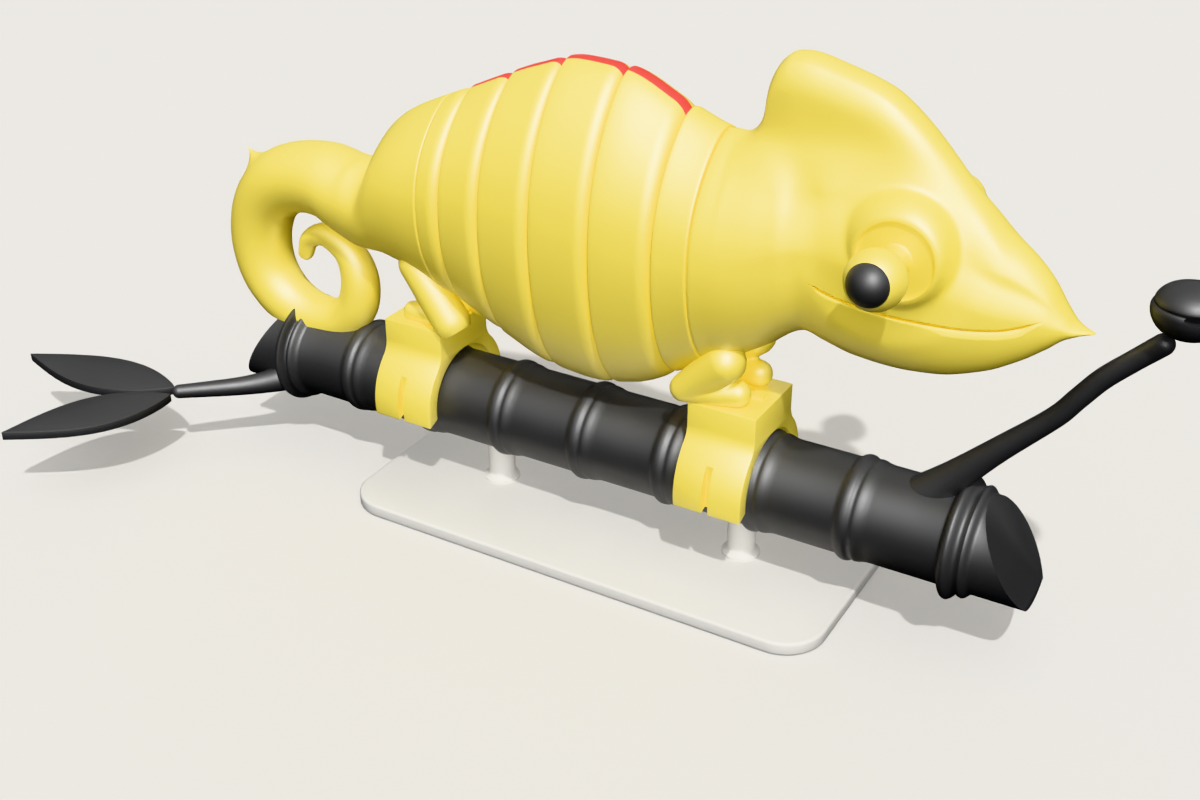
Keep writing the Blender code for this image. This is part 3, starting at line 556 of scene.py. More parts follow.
def makeHipsAndTail():
    end = trunk["planes"][0] - 0.5 * trunk["gap"]
    seamEdge = trunk["seamEdge"]
    hipStations = spread(tail["hipStart"], end - seamEdge, tail["hipStep"])
    hipStations += [end - step for step in edgeSteps(seamEdge)]
    middleAt = throughPoints([station[:2] for station in tail["line"]])
    radiusAt = smoothLine([(i, station[2]) for i, station in enumerate(tail["line"])])
    last = len(tail["line"]) - 1.0
    steps = int(last * tail["ribsPerStation"])

    ribs = []  # (middle, direction, radius) from the tip towards the hips
    for i in range(steps, 0, -1):
        position = last * i / steps
        ahead, behind = middleAt(position + 0.02), middleAt(position - 0.02)
        direction = Vector((ahead[0] - behind[0], 0.0, ahead[1] - behind[1])).normalized()
        if position < 1.0:  # level where it meets the hips
            direction = direction * position + Vector((-1.0, 0.0, 0.0)) * (1.0 - position)
            direction.normalize()
        here = middleAt(position)
        ribs.append((Vector((here[0], 0.0, here[1])), direction, radiusAt(position)))
    ribs = roundEnd(*ribs[0], range(84, 0, -12)) + ribs
    tip = Vector(tail["thornTip"])
    root = middleAt(tail["thornAt"])
    root = Vector((root[0], 0.0, root[1]))
    thornBase = root + (tip - root).normalized() * radiusAt(tail["thornAt"])

    def placePoint(rib, turn):
        if rib >= len(ribs):
            x = hipStations[rib - len(ribs)]
            return bodyPoint(x, curlIn(end - x, seamEdge, trunk["seamDepth"]), turn)
        middle, direction, radius = ribs[rib]
        up = Vector((direction.z, 0.0, -direction.x))
        point = middle + up * radius * math.cos(turn)
        point.y = radius * math.sin(turn)
        away = (point - thornBase).length / tail["thornReach"]
        if away < 1.0:
            point += (tip - point) * (1.0 - away) ** tail["thornCurve"]
        return point

    piece = ribbedTube("hips_and_tail", len(ribs) + len(hipStations), tail["sideCount"])
    shapeRibs(piece, placePoint)
    softPart = piece.vertex_groups.new(name="root")
    for vertex in piece.data.vertices:
        x, y, z = vertex.co
        weight = ramp(z - tail["rootLow"], tail["rootFade"])
        weight *= bump(x - tail["rootPlace"], tail["rootReach"])
        softPart.add([vertex.index], weight, "REPLACE")
    applyModifier(piece, "SMOOTH", factor=0.7, iterations=90, vertex_group="root")
    cutWith(piece, branchBar("branchCutter", tail["branchGap"]))
    settle(piece, "yellow_plastic", ["hips", "tail_base", "tail_loop", "tail_tip"])
    print("hips and tail done")


# neck and head, one moulding

head = {
    # how far each stretch of sections reaches, up to the nose, and their spacing in it
    "sections": ((94.0, 0.6), (104.0, 0.3), (150.0, 0.6), (159.4, 0.25)),
    "sideCount": 176,
    "voxel": 0.345,
    # smoothing of its three softened parts, as (factor, iterations)
    "smoothing": {"soften": (0.5, 6), "turretRoot": (0.6, 45), "casqueRoot": (0.8, 160)},
    "softenEnd": 155.0,  # the nose's tip stays as it is
    "softenFade": 4.0,
    "casqueSoftness": 8.0,  # how far the hollow under the casque is smoothed out
    "casqueStart": 92.0,  # where that starts and ends, and how it fades in and out
    "casqueFadeIn": 4.0,
    "casqueEnd": 142.0,
    "casqueFadeOut": 8.0,
    "eyeCentre": (126.8, 0.0, 58.3),
    "eyeSideCount": 96,
    # dome round the eye, (radius, distance outwards)
    "turret": ((11.0, 2.0), (10.95, 6.0), (10.75, 7.8), (10.35, 9.0), (9.75, 10.1), (9.0, 11.15),
               (8.35, 11.8), (7.8, 12.12), (7.3, 12.2), (6.0, 12.2)),
    "turretLean": 1.2,  # how far the dome's root lies behind its rim
    "turretSlope": 4.0,  # depth from the rim in which it leans that far
    "turretFoot": 12.0,  # distance from its axis at which the dome meets the cheek
    "turretRootPlace": 11.6,  # round here that meeting is smoothed
    "turretRootReach": 4.4,
    "discRadius": 7.2,  # the flat round recess in the dome
    "discFloor": 11.4,
    "discCutter": 6.0,
    "jawLine": ((110.2, 51.1), (114.9, 49.5), (121.1, 48.3), (129.6, 47.6), (137.6, 47.4),
                (143.7, 47.8), (151.3, 50.0)),
    "moatDepth": 0.5,  # the shallow groove round the eye's dome
    "moatReach": 5.5,
    # section of the mouth, as (depth, height): lip's overhang, slit and lower lip's slope
    "mouthSection": ((0.62, -0.03), (1.7, -0.95), (0.6, -0.72), (0.0, -2.15)),
    "mouthRibs": 60,
    "mouthEndOpening": 0.1,  # how open the slit is at its ends
    "mouthTaper": 14.0,  # it is fully open after one part in this many
    "mouthOutside": 4.0,  # how far its cutter stands out of the skin
    "jawCrease": ((37.0, 108.2), (47.7, 110.6), (61.1, 109.4), (68.8, 106.4), (74.6, 100.4)),
    "creaseDepth": 0.45,
    "creaseReach": 5.5,
    "creaseBelow": 4.0,  # how far it runs on below its line, and how its ends fade
    "creaseFadeLow": 6.0,
    "creaseFadeHigh": 5.0,
}


def makeMouthCutter():
    # for the animal's right; each section has five corners
    mouthHeight = smoothLine(head["jawLine"])
    first, last = head["jawLine"][0][0], head["jawLine"][-1][0]
    count, outside, endOpening = head["mouthRibs"], head["mouthOutside"], head["mouthEndOpening"]
    cornerCount = 5

    def placePoint(rib, turn):
        x = first + (last - first) * rib / (count - 1)
        fromEnd = min(1.0, head["mouthTaper"] * min(rib, count - 1 - rib) / count)
        opening = endOpening + (1.0 - endOpening) * fromEnd
        z = mouthHeight(x)
        cornerTurn = (90.0 - math.degrees(turn)) % 360.0
        corner = round(cornerTurn / (360.0 / cornerCount)) % cornerCount
        section = [(depth * opening, drop * opening) for depth, drop in head["mouthSection"]]
        (start, startDrop), (edge, edgeDrop) = section[2:]
        if corner == 0:  # outside the skin, above the mouth
            depth, drop = -outside, 0.0
        elif corner == 4:  # outside the skin, on the lip's own slope
            depth, drop = -outside, edgeDrop + outside * (edgeDrop - startDrop) / (start - edge)
        else:
            depth, drop = section[corner - 1]
        skin = sideWidth(x, z + max(drop, edgeDrop), back(x), belly(x))
        return x, right * (skin - depth), z + drop

    piece = ribbedTube("mouthCutter", count, cornerCount)
    return shapeRibs(piece, placePoint)


def makeHead():
    start = trunk["planes"][-1] + 0.5 * trunk["gap"]
    seamEdge = trunk["seamEdge"]
    stations = sorted(start + step for step in edgeSteps(seamEdge))
    for place, step in head["sections"]:
        stations += spread(stations[-1], place, step)[1:] + [place]
    creaseAt = smoothLine(head["jawCrease"])
    eyeX, eyeZ = head["eyeCentre"][0] - head["turretLean"], head["eyeCentre"][2]
    lowest, highest = head["jawCrease"][0][0], head["jawCrease"][-1][0]

    def placePoint(rib, turn):
        x = stations[rib]
        x, y, z = bodyPoint(x, curlIn(x - start, seamEdge, trunk["seamDepth"]), turn)
        within = ramp(z - lowest + head["creaseBelow"], head["creaseFadeLow"])
        within *= ramp(highest - z, head["creaseFadeHigh"])
        valley = head["creaseDepth"] * within * bump(x - creaseAt(z), head["creaseReach"])
        away = math.hypot(x - eyeX, z - eyeZ)
        valley += head["moatDepth"] * bump(away - head["turretFoot"], head["moatReach"])
        return x, math.copysign(max(abs(y) - valley, 0.0), y), z

    piece = ribbedTube("neck_and_head", len(stations), head["sideCount"])
    shapeRibs(piece, placePoint)
    profile = [(radius, right * out) for radius, out in head["turret"]]
    dome = turnedPiece("turret", profile, head["eyeCentre"], 1, head["eyeSideCount"])
    rim = head["turret"][-1][1]
    for vertex in dome.data.vertices:
        vertex.co.x -= head["turretLean"] * ramp(rim - abs(vertex.co.y), head["turretSlope"])
    joinAll([piece, dome, otherSide(dome, "turretLeft")], "neck_and_head")
    applyModifier(piece, "REMESH", mode="VOXEL", voxel_size=head["voxel"])

    soften = piece.vertex_groups.new(name="soften")
    turretRoot = piece.vertex_groups.new(name="turretRoot")
    casqueRoot = piece.vertex_groups.new(name="casqueRoot")
    for vertex in piece.data.vertices:
        x, y, z = vertex.co
        fade = ramp(head["softenEnd"] - x, head["softenFade"]) * ramp(x - start - 1.0, 1.0)
        soften.add([vertex.index], fade, "REPLACE")
        away = math.hypot(x - eyeX, z - eyeZ)
        atRoot = bump(away - head["turretRootPlace"], head["turretRootReach"])
        turretRoot.add([vertex.index], atRoot, "REPLACE")
        along = ramp(x - head["casqueStart"], head["casqueFadeIn"])
        along *= ramp(head["casqueEnd"] - x, head["casqueFadeOut"])
        atRoot = along * bump(z - skullTop(x) + 1.0, head["casqueSoftness"])
        casqueRoot.add([vertex.index], atRoot if away > head["turretFoot"] else 0.0, "REPLACE")
    for part, (factor, iterations) in head["smoothing"].items():
        applyModifier(piece, "SMOOTH", factor=factor, iterations=iterations, vertex_group=part)

    recess = [(head["discRadius"], right * head["discFloor"]),
              (head["discRadius"], right * (head["discFloor"] + head["discCutter"]))]
    recess = turnedPiece("recess", recess, head["eyeCentre"], 1, head["eyeSideCount"])
    cutters = joinAll([recess, makeMouthCutter()], "headCutters")
    cutWith(piece, joinAll([cutters, otherSide(cutters, "leftCutters")], "headCutters"))
    settle(piece, "yellow_plastic", ["neck", "head"])
    print("head done")


# eyes

eye = {
    "pegRadius": 2.6,
    "pegLift": 0.02,  # keeps the peg's foot clear of the recess
    "pegFoot": ((0.5, 0.0), (0.12, 0.2), (0.0, 0.6)),  # its fillet, as (extra radius, height)
    "ballRadius": 5.4,
    "ballOut": 20.8,  # distances outwards from the animal's middle
    "pupilRadius": 4.05,
    "pupilCentre": (126.8, 0.0, 58.55),
    "pupilOut": 23.3,
    "pupilGap": 0.04,
}


def ballProfile(radius, out, side, rows=40):
    # of a ball that is a distance out to a side, for turnedPiece()
    profile = []
    for row in range(rows + 1):
        angle = math.pi * row / rows
        along = side * (out - radius * math.cos(angle))
        profile.append((max(radius * math.sin(angle), 0.01), along))
    return profile


def makeEyes():
    centre = head["eyeCentre"]
    ballRadius, ballOut, pegRadius = eye["ballRadius"], eye["ballOut"], eye["pegRadius"]
    ball = turnedPiece("eyeball_right", ballProfile(ballRadius, ballOut, right), centre, 1, 72)
    foot = head["discFloor"] + eye["pegLift"]
    peg = [(pegRadius + extra, foot + height) for extra, height in eye["pegFoot"]]
    peg += [(pegRadius, ballOut - ballRadius + 0.4), (pegRadius, ballOut - 1.0)]  # in the ball
    peg = [(radius, right * out) for radius, out in peg]
    cutWith(ball, turnedPiece("peg", peg, centre, 1, 48), "UNION")
    seat = ballProfile(eye["pupilRadius"] + eye["pupilGap"], eye["pupilOut"], right)
    cutWith(ball, turnedPiece("seat", seat, eye["pupilCentre"], 1, 72))
    pupil = ballProfile(eye["pupilRadius"], eye["pupilOut"], right)
    pupil = turnedPiece("pupil_right", pupil, eye["pupilCentre"], 1, 72)
    settlePair(ball, "eyeball", "yellow_plastic")
    settlePair(pupil, "pupil", "black_plastic")
    print("eyes done")


# legs

legs = {
    # chains of (x, y, z, radius) on the animal's right
    "front": ((93.7, -7.0, 28.1, 4.2), (85.4, -7.4, 20.6, 3.0), (95.8, -5.0, 20.9, 2.7)),
    "hind": ((19.8, -6.0, 32.0, 3.8), (28.8, -6.6, 20.8, 4.2)),
    "hindToe": ((17.4, -4.8, 19.9, 2.2), (25.0, -4.8, 20.2, 2.4)),
    "soleAt": (30.6, 18.9),  # (x, z) of the hind leg's flat end, and the way it faces
    "soleLean": (0.6, -0.8),
    "soleCutter": 12.0,
    "frontSpan": (76.0, 112.0),  # stretches of the body that are cut out of the legs
    "hindSpan": (6.0, 46.0),
    "voxel": 0.26,
    "gap": 0.05,
    "cutterLow": (-120.0, -60.0, -60.0),  # corners of the block that clears the clips
    "cutterHigh": (200.0, 60.0),
}


def roundRod(name, start, end):
    low, high = Vector(start[:3]), Vector(end[:3])
    axis = (high - low).normalized()
    ribs = roundEnd(low, axis, start[3], range(-84, 1, 12))
    ribs += roundEnd(high, axis, end[3], range(0, 85, 12))
    return tubeAlong(name, ribs, Vector((0.0, 1.0, 0.0)), 40)


def bodyCutter(span):
    stations = spread(span[0], span[1], 1.0) + [span[1]]
    return bodyLength("bodyCutter", stations, [-legs["gap"]] * len(stations))


def soleCutter():
    # the hind leg's blunt lower end, a flat that faces down and towards the head
    size = legs["soleCutter"]
    lean = Vector(legs["soleLean"]).normalized()
    along = Vector((lean.y, -lean.x)) * size
    near = Vector(legs["soleAt"])
    far = near + lean * size
    corners = (near - along, near + along, far + along, far - along)
    points = [(corner.x, -2.5 * size, corner.y) for corner in corners]
    return outlineBlock("soleCutter", points, (0.0, 5.0 * size, 0.0))


def clipTopCutter():
    high = (*legs["cutterHigh"], clip["top"] + legs["gap"])
    return blockBetween("clipTopCutter", legs["cutterLow"], high)


def makeLegPair(kind, chains, span):
    rods = []
    for chain in chains:
        for start, end in zip(chain, chain[1:]):
            rods.append(roundRod(kind, start, end))
    piece = joinAll(rods, f"{kind}_right")
    applyModifier(piece, "REMESH", mode="VOXEL", voxel_size=legs["voxel"])
    applyModifier(piece, "SMOOTH", factor=0.5, iterations=8)
    cutWith(piece, bodyCutter(span))
    cutWith(piece, clipTopCutter())
    if kind == "hind_leg":
        cutWith(piece, soleCutter())
    settlePair(piece, kind, "yellow_plastic")


def makeLegs():
    makeLegPair("front_leg", [legs["front"]], legs["frontSpan"])
    makeLegPair("hind_leg", [legs["hind"], legs["hindToe"]], legs["hindSpan"])
    print("legs done")


# clips

clip = {
    "length": 14.8,
    "rearStart": 12.3,
    "frontStart": 86.8,
    "top": 18.4,
    "halfWidth": 8.8,
    "outer": 14.3,
    "bore": 11.2,
    "fillet": 5.0,  # the hollow between the flat side and the round one
    "lipOutside": -2.8,  # heights at which the jaws end
    "lipInside": -1.6,
    "edge": 0.3,
    "slotLength": 1.5,
    "slotBottom": -8.0,
    "slotHeight": 10.2,  # above the jaws' ends
    "slotDepth": 2.1,
    "slotPlace": 0.48,  # share of the clip's length
    "slotCutter": 4.0,
    "toeBlock": ((97.0, -1.0, 17.0), (99.4, 1.2, 19.1)),  # on the front clip only
}


def clipOutline():
    # the end view, as (y, z) for the side at -Y
    half, outer, bore, fillet = clip["halfWidth"], clip["outer"], clip["bore"], clip["fillet"]
    hollowY = -(half + fillet)
    hollowZ = math.sqrt((outer + fillet) ** 2 - hollowY ** 2)
    meet = math.atan2(hollowZ, -hollowY)  # where hollow and round side meet, from -Y
    points = [(-half, clip["top"])]
    for step in range(13):  # the hollow, from the flat side outwards
        angle = -meet * step / 12
        points.append((hollowY + fillet * math.cos(angle), hollowZ + fillet * math.sin(angle)))
    lip = math.asin(clip["lipOutside"] / outer)
    for step in range(1, 29):
        angle = meet + (lip - meet) * step / 28
        points.append((-outer * math.cos(angle), outer * math.sin(angle)))
    lip = math.asin(clip["lipInside"] / bore)
    for step in range(33):
        angle = lip + (0.5 * math.pi - lip) * step / 32
        points.append((-bore * math.cos(angle), bore * math.sin(angle)))
    return points + [(-y, z) for y, z in reversed(points[:-1])]


def makeClips():
    points = [(clip["rearStart"], y, z) for y, z in clipOutline()]
    rear = outlineBlock("clip_rear", points, (clip["length"], 0.0, 0.0))
    roundEdges(rear, clip["edge"], 2)
    middle = clip["rearStart"] + clip["slotPlace"] * clip["length"]
    halfSlot = 0.5 * clip["slotLength"]
    outside, inside = clip["outer"] + clip["slotCutter"], clip["outer"] - clip["slotDepth"]
    slotTop = clip["lipOutside"] + clip["slotHeight"]
    slot = blockBetween("slot", (middle - halfSlot, right * outside, clip["slotBottom"]),
                        (middle + halfSlot, right * inside, slotTop))
    leftSlot = otherSide(slot, "leftSlot")
    cutWith(rear, slot)
    cutWith(rear, leftSlot)
    front = copyAlong(rear, "clip_front", clip["frontStart"] - clip["rearStart"])
    cutWith(front, blockBetween("toe", *clip["toeBlock"]), "UNION")
    settle(rear, "yellow_plastic", ["clip_rear"])
    settle(front, "yellow_plastic", ["clip_front"])
    print("clips done")


# branch

branch = {
    "radius": 9.9,
    "nodePitch": 20.0,
    "nodeCount": 7,
    # ridge beside each node, as (distance from the node, extra radius), and those at the ends
    "ridge": ((-1.6, 0.0), (-0.9, 0.12), (-0.2, 0.6), (0.6, 0.88), (1.4, 0.8), (2.1, 0.42),
              (2.5, 0.36), (3.0, 0.5), (3.6, 0.42), (4.6, 0.14), (5.8, 0.0)),
    "collar": ((-1.0, 0.0), (-0.6, 0.1), (-0.1, 1.3), (0.5, 2.1), (1.1, 2.3), (1.8, 1.9),
               (2.5, 1.1), (3.0, 0.92), (3.5, 1.05), (4.0, 1.25), (4.6, 0.95), (5.2, 0.25),
               (5.8, 0.0)),
    "rearFin": ((-1.2, 0.0), (-0.7, 0.2), (-0.1, 1.15), (0.6, 2.0), (1.15, 2.5), (1.6, 2.6),
                (2.0, 2.0), (2.4, 1.05), (2.8, 0.8), (3.3, 1.1), (3.8, 1.5), (4.2, 1.4), (4.8, 0.7),
                (5.3, 0.2), (5.8, 0.0)),
    "finLift": 0.6,  # the rear fin stands higher on top of the branch
    "finLean": 0.7,  # and leans towards the head by this much of its lift
    "finPlace": 1.5,  # its highest place, from where it starts
    "finReach": 1.5,
    "finSpread": 10.0,  # height over which the lift comes in
    "rearCollar": -19.2,
    "frontCollar": 140.6,
    "end": 156.6,
    "cutSlope": 0.6,  # how the branch's ends are cut, and where that starts
    "cutFoot": -7.8,
    "wedgeLength": 60.0,
    "fineStep": 0.35,  # spacing of sections in the ridges and between them
    "plainStep": 8.0,
    "sideCount": 112,
}


def branchBar(name, extra):
    # the whole branch with straight ends, thicker by extra where it is a cutter
    marks = [(branch["rearCollar"], branch["rearFin"])]
    marks += [(branch["nodePitch"] * i, branch["ridge"]) for i in range(branch["nodeCount"])]
    marks += [(branch["frontCollar"], branch["collar"])]
    profile = [(branchStart, 0.0)]
    for place, shape in marks:
        profile += [(place + along, height) for along, height in shape]
    profile.append((branch["end"], 0.0))
    heightAt = smoothLine(profile)
    stations = []
    for (x, height), (nextX, nextHeight) in zip(profile, profile[1:]):
        stations += spread(x, nextX, branch["fineStep" if height or nextHeight else "plainStep"])
    stations.append(branch["end"])
    ribs = [(branch["radius"] + heightAt(x) + extra, x) for x in stations]
    piece = turnedPiece(name, ribs, (0.0, 0.0, 0.0), 0, branch["sideCount"])
    finAt = branch["rearCollar"] + branch["finPlace"]
    for vertex in piece.data.vertices:
        x, y, z = vertex.co
        lift = branch["finLift"] * bump(x - finAt, branch["finReach"])
        lift *= ramp(z, branch["finSpread"]) ** 2
        vertex.co.z += lift
        vertex.co.x += branch["finLean"] * lift
    return piece


def endWedge(footX, slope, outward):
    # cuts an end of the branch on a slant; outward is 1 or -1 along X
    high = 2.0 * branch["radius"]
    foot = branch["cutFoot"]
    topX = footX - slope * (high - foot)
    farX = topX + outward * branch["wedgeLength"]
    points = [(footX, -high, foot), (topX, -high, high), (farX, -high, high), (farX, -high, foot)]
    return outlineBlock("endWedge", points, (0.0, 2.0 * high, 0.0))


def makeBranch():
    piece = branchBar("branch", 0.0)
    cutWith(piece, endWedge(branch["end"], branch["cutSlope"], 1.0))
    cutWith(piece, endWedge(branchStart, -branch["cutSlope"], -1.0))
    settle(piece, "black_plastic", ["branch"])
    print("branch done")


# twigs, leaves and bud

twigs = {
    # chains of (x, y, z, radius)
    "twig_front": ((133.6, 0.0, 7.0, 4.3), (138.6, 0.0, 12.6, 3.2), (146.0, 0.0, 20.7, 2.4),
                   (154.8, 0.0, 29.9, 2.0), (158.4, 0.0, 34.9, 1.95), (161.9, 0.0, 39.7, 1.95),
                   (166.2, 0.0, 44.2, 1.9), (170.4, 0.0, 48.4, 1.95)),
    "twig_rear": ((-17.6, -5.4, -5.0, 2.9), (-20.6, -8.2, -5.5, 3.0), (-23.4, -11.0, -6.0, 2.6),
                  (-26.4, -13.9, -6.3, 2.25), (-30.2, -17.6, -6.3, 2.0), (-37.2, -24.9, -5.8, 1.6)),
    "ribCount": 80,
    "sideCount": 40,
}


def makeTwig(name):
    chain = twigs[name]
    pointAt = throughPoints([station[:3] for station in chain])
    radiusAt = smoothLine([(i, station[3]) for i, station in enumerate(chain)])
    last = len(chain) - 1.0
    count = twigs["ribCount"]
    ribs = []
    for i in range(count + 1):
        position = last * i / count
        run = Vector(pointAt(position + 0.02)) - Vector(pointAt(position - 0.02))
        ribs.append((Vector(pointAt(position)), run.normalized(), radiusAt(position)))
    ribs += roundEnd(*ribs[-1], range(12, 85, 12))
    level = Vector((0.0, 1.0, 0.0)) if name == "twig_front" else Vector((0.0, 0.0, 1.0))
    piece = tubeAlong(name, ribs, level, twigs["sideCount"])
    cutWith(piece, branchBar("branchCutter", 0.0))
    settle(piece, "black_plastic", [name])


leaves = {
    "thickness": 2.0,
    "top": -5.4,
    "edge": 0.15,
    "fullness": 0.85,  # below 1 a leaf is widest nearer its root
    "stepCount": 40,
    # root, tip, and how far each side bulges
    "leaf_1": ((-39.2, -24.3), (-82.0, -29.4), 7.6, -6.6),
    "leaf_2": ((-37.6, -27.2), (-57.0, -59.4), 7.0, -7.2),
}


def makeLeaf(name):
    root, tip, leftBulge, rightBulge = leaves[name]
    start, run = Vector(root), Vector(tip) - Vector(root)
    across = Vector((-run.y, run.x)).normalized()

    def edgePoint(step, bulge):
        t = step / leaves["stepCount"]
        point = start + run * t + across * bulge * math.sin(math.pi * t ** leaves["fullness"])
        return point.x, point.y, leaves["top"]

    points = [edgePoint(step, leftBulge) for step in range(leaves["stepCount"] + 1)]
    points += [edgePoint(step, rightBulge) for step in range(leaves["stepCount"] - 1, 0, -1)]
    piece = outlineBlock(name, points, (0.0, 0.0, -leaves["thickness"]))
    roundEdges(piece, leaves["edge"], 2)
    settle(piece, "black_plastic", [name])


def makeTwigsAndLeaves():
    for name in ("twig_front", "twig_rear"):
        makeTwig(name)
    for name in ("leaf_1", "leaf_2"):
        makeLeaf(name)
    print("twigs and leaves done")


bud = {
    "centre": (173.6, 0.0, 55.4),
    # the bowl, the groove at its rim and the cap seated in it, as (radius, height)
    "profile": ((0.05, -4.75), (2.2, -4.6), (4.0, -3.9), (5.4, -2.7), (6.25, -1.2), (6.48, 0.0),
                (6.4, 0.7), (6.15, 1.1), (5.8, 1.15), (5.95, 1.35), (6.0, 1.7), (5.75, 2.3),
                (5.2, 3.0), (4.2, 3.75), (2.7, 4.4), (1.2, 4.72), (0.05, 4.8)),
    "stepsPerPoint": 4,
    "rimRadius": 6.4,
    "slit": (3.3, 0.85),  # half its width and half its height
    "slitSunk": 0.7,  # how far its middle lies inside the rim
    "slitHeight": 0.75,
    "slitFaces": (0.506, -0.863),  # the way it faces, seen from above
}


def makeBud():
    outline = throughPoints(bud["profile"])
    finer = bud["stepsPerPoint"]
    profile = [outline(i / finer) for i in range(finer * (len(bud["profile"]) - 1) + 1)]
    piece = turnedPiece("bud", profile, bud["centre"], 2, 112)
    halfWide, halfHigh = bud["slit"]
    reach = bud["rimRadius"] - bud["slitSunk"]
    lens = ballProfile(1.0, 0.0, 1.0, 24)
    lens = [(halfWide * radius, halfHigh * height) for radius, height in lens]
    middle = (bud["centre"][0] + reach * bud["slitFaces"][0],
              bud["centre"][1] + reach * bud["slitFaces"][1], bud["centre"][2] + bud["slitHeight"])
    cutWith(piece, turnedPiece("budSlit", lens, middle, 2, 64))
    settle(piece, "black_plastic", ["bud"])
    print("bud done")


# stand

stand = {
    "centreX": 66.0,
    "length": 112.0,
    "width": 50.0,
    "thickness": 3.0,
    "corner": 9.0,
    "edge": 0.6,
    "rodRadius": 3.0,
    # fillet at a rod's foot, as (extra radius, height)
    "rodFoot": ((1.0, 0.0), (1.0, 0.5), (0.6, 0.8), (0.2, 1.2), (0.0, 1.8)),
    "rodTop": -4.0,  # inside the branch, which is cut out of it
    "rodGap": 0.02,
    "rodSpacing": 60.0,
}


def makeStand():
    floorZ = -figureOrigin.z / millimetre
    halfX = 0.5 * stand["length"] - stand["corner"]
    halfY = 0.5 * stand["width"] - stand["corner"]
    points = []
    for quarter, (signX, signY) in enumerate(((1, 1), (-1, 1), (-1, -1), (1, -1))):
        for step in range(17):
            angle = 0.5 * math.pi * (quarter + step / 16)
            points.append((stand["centreX"] + signX * halfX + stand["corner"] * math.cos(angle),
                           signY * halfY + stand["corner"] * math.sin(angle), floorZ))
    base = outlineBlock("stand_base", points, (0.0, 0.0, stand["thickness"]))
    roundEdges(base, stand["edge"], 3)
    settle(base, "stand_plastic", ["stand_base"])
    place = (stand["centreX"] - 0.5 * stand["rodSpacing"], 0.0, 0.0)
    bottom, radius = floorZ + stand["thickness"], stand["rodRadius"]
    profile = [(radius + extra, bottom + height) for extra, height in stand["rodFoot"]]
    profile.append((radius, stand["rodTop"]))
    rod = turnedPiece("stand_rod_1", profile, place, 2, 64)
    cutWith(rod, branchBar("branchCutter", stand["rodGap"]))
    headRod = copyAlong(rod, "stand_rod_2", stand["rodSpacing"])
    settle(rod, "stand_plastic", ["stand_rod_1"])
    settle(headRod, "stand_plastic", ["stand_rod_2"])
    print("stand done")


# floor, light and camera

studio = {
    "cameraPlace": (0.13587, -0.238884, 0.181978),
    "cameraTarget": (-0.004256, 0.0, 0.029642),
    "lens": 44.785,
    "floorSize": 6.0,
    "floorColour": (0.613, 0.597, 0.567),
    "backdropRadius": 2.8,
    "backdropColour": (0.9, 0.876, 0.832),
    "suns": {  # the way each one shines, its strength and its angle in degrees
        "key": ((-0.42, 0.54, -1.0), 2.1, 1.5),
        "fill": ((-0.443, 0.77, -0.53), 3.0, 30.0),
        "back": ((0.5, -0.85, -0.12), 1.5, 30.0),
        "shine": ((-0.43, 0.68, -0.72), 3.0, 35.0),
    },
    "skyStrength": 0.43,
    "skyRise": (0.0, 0.5),  # heights between which the soft overhead light fades in
}


def aimAlong(item, direction):
    item.rotation_euler = Vector(direction).to_track_quat("-Z", "Y").to_euler()


def addSun(name, travel, strength, spreadAngle):
    clearSelection()
    bpy.ops.object.light_add(type="SUN", location=(0.0, 0.0, 1.0))
    lamp = bpy.context.object
    lamp.name = name
    lamp.data.energy = strength
    lamp.data.angle = math.radians(spreadAngle)
    aimAlong(lamp, travel)
    return lamp


def dressStage(piece, finishName, looks):
    # a plain matt finish; the piece neither lights the object nor mirrors in it
    piece.visible_diffuse = False
    piece.visible_glossy = False
    finish = bpy.data.materials.new(finishName)
    finish.use_nodes = True
    shader = finish.node_tree.nodes["Principled BSDF"]
    shader.inputs["Roughness"].default_value = 1.0
    shader.inputs["Specular IOR Level"].default_value = 0.0
    for name, value in looks.items():
        shader.inputs[name].default_value = value
    piece.data.materials.append(finish)


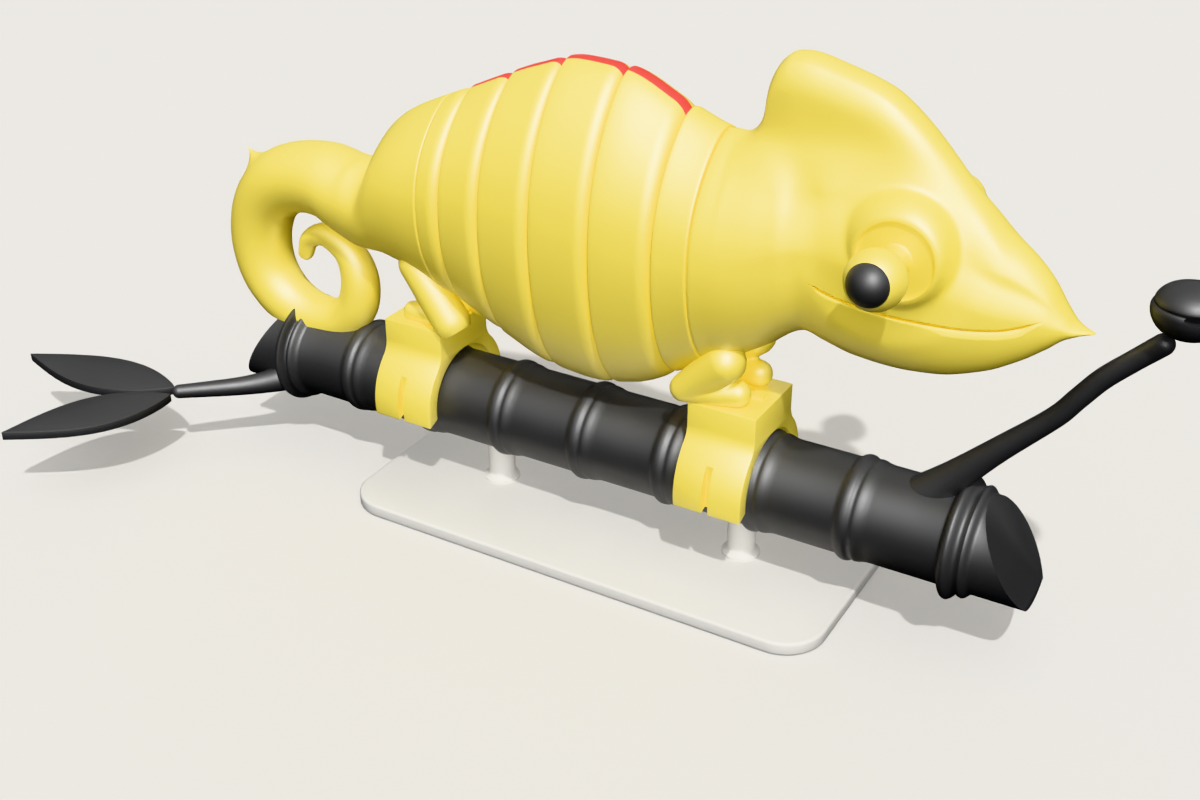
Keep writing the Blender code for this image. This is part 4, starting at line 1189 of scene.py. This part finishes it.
def makeStage():
    clearSelection()
    bpy.ops.mesh.primitive_plane_add(size=studio["floorSize"], location=(0.0, 0.0, 0.0))
    floor = bpy.context.object
    floor.name = "floor"
    dressStage(floor, "paleFloor", {"Base Color": (*studio["floorColour"], 1.0)})

    clearSelection()
    bpy.ops.mesh.primitive_uv_sphere_add(segments=48, ring_count=24,
                                         radius=studio["backdropRadius"])
    backdrop = bpy.context.object  # a pale dome to look at
    backdrop.name = "backdrop"
    backdrop.visible_shadow = False
    dressStage(backdrop, "paleBackdrop", {"Base Color": (0.0, 0.0, 0.0, 1.0),
                                          "Emission Color": (*studio["backdropColour"], 1.0),
                                          "Emission Strength": 1.0})


def makeLights():
    suns = {name: addSun(name, *values) for name, values in studio["suns"].items()}
    for name in ("fill", "back"):  # these leave no shine and no shadow
        suns[name].visible_glossy = False
        suns[name].data.use_shadow = False
    suns["shine"].visible_diffuse = False  # only the broad satin shine
    world = bpy.data.worlds.new("studio")
    world.use_nodes = True
    nodes, links = world.node_tree.nodes, world.node_tree.links
    sky = nodes["Background"]
    sky.inputs["Color"].default_value = (1.0, 1.0, 1.0, 1.0)
    direction = nodes.new("ShaderNodeTexCoord")
    parts = nodes.new("ShaderNodeSeparateXYZ")
    rise = nodes.new("ShaderNodeMapRange")
    rise.interpolation_type = "SMOOTHSTEP"
    rise.inputs["From Min"].default_value, rise.inputs["From Max"].default_value = studio["skyRise"]
    rise.inputs["To Max"].default_value = studio["skyStrength"]
    links.new(direction.outputs["Generated"], parts.inputs["Vector"])
    links.new(parts.outputs["Z"], rise.inputs["Value"])
    links.new(rise.outputs["Result"], sky.inputs["Strength"])
    bpy.context.scene.world = world


def makeCamera():
    clearSelection()
    bpy.ops.object.camera_add(location=studio["cameraPlace"])
    camera = bpy.context.object
    camera.name = "camera"
    camera.data.lens = studio["lens"]
    camera.data.sensor_width = 36.0
    camera.data.clip_start = 0.01
    aimAlong(camera, Vector(studio["cameraTarget"]) - Vector(studio["cameraPlace"]))
    bpy.context.scene.camera = camera
    # this view transform keeps the clear yellow
    bpy.context.scene.view_settings.view_transform = "Khronos PBR Neutral"


def makeStudio():
    makeStage()
    makeLights()
    makeCamera()
    print("studio done")


makeTrunk()
makeHipsAndTail()
makeHead()
makeEyes()
makeLegs()
makeClips()
makeBranch()
makeTwigsAndLeaves()
makeBud()
makeStand()
makeStudio()
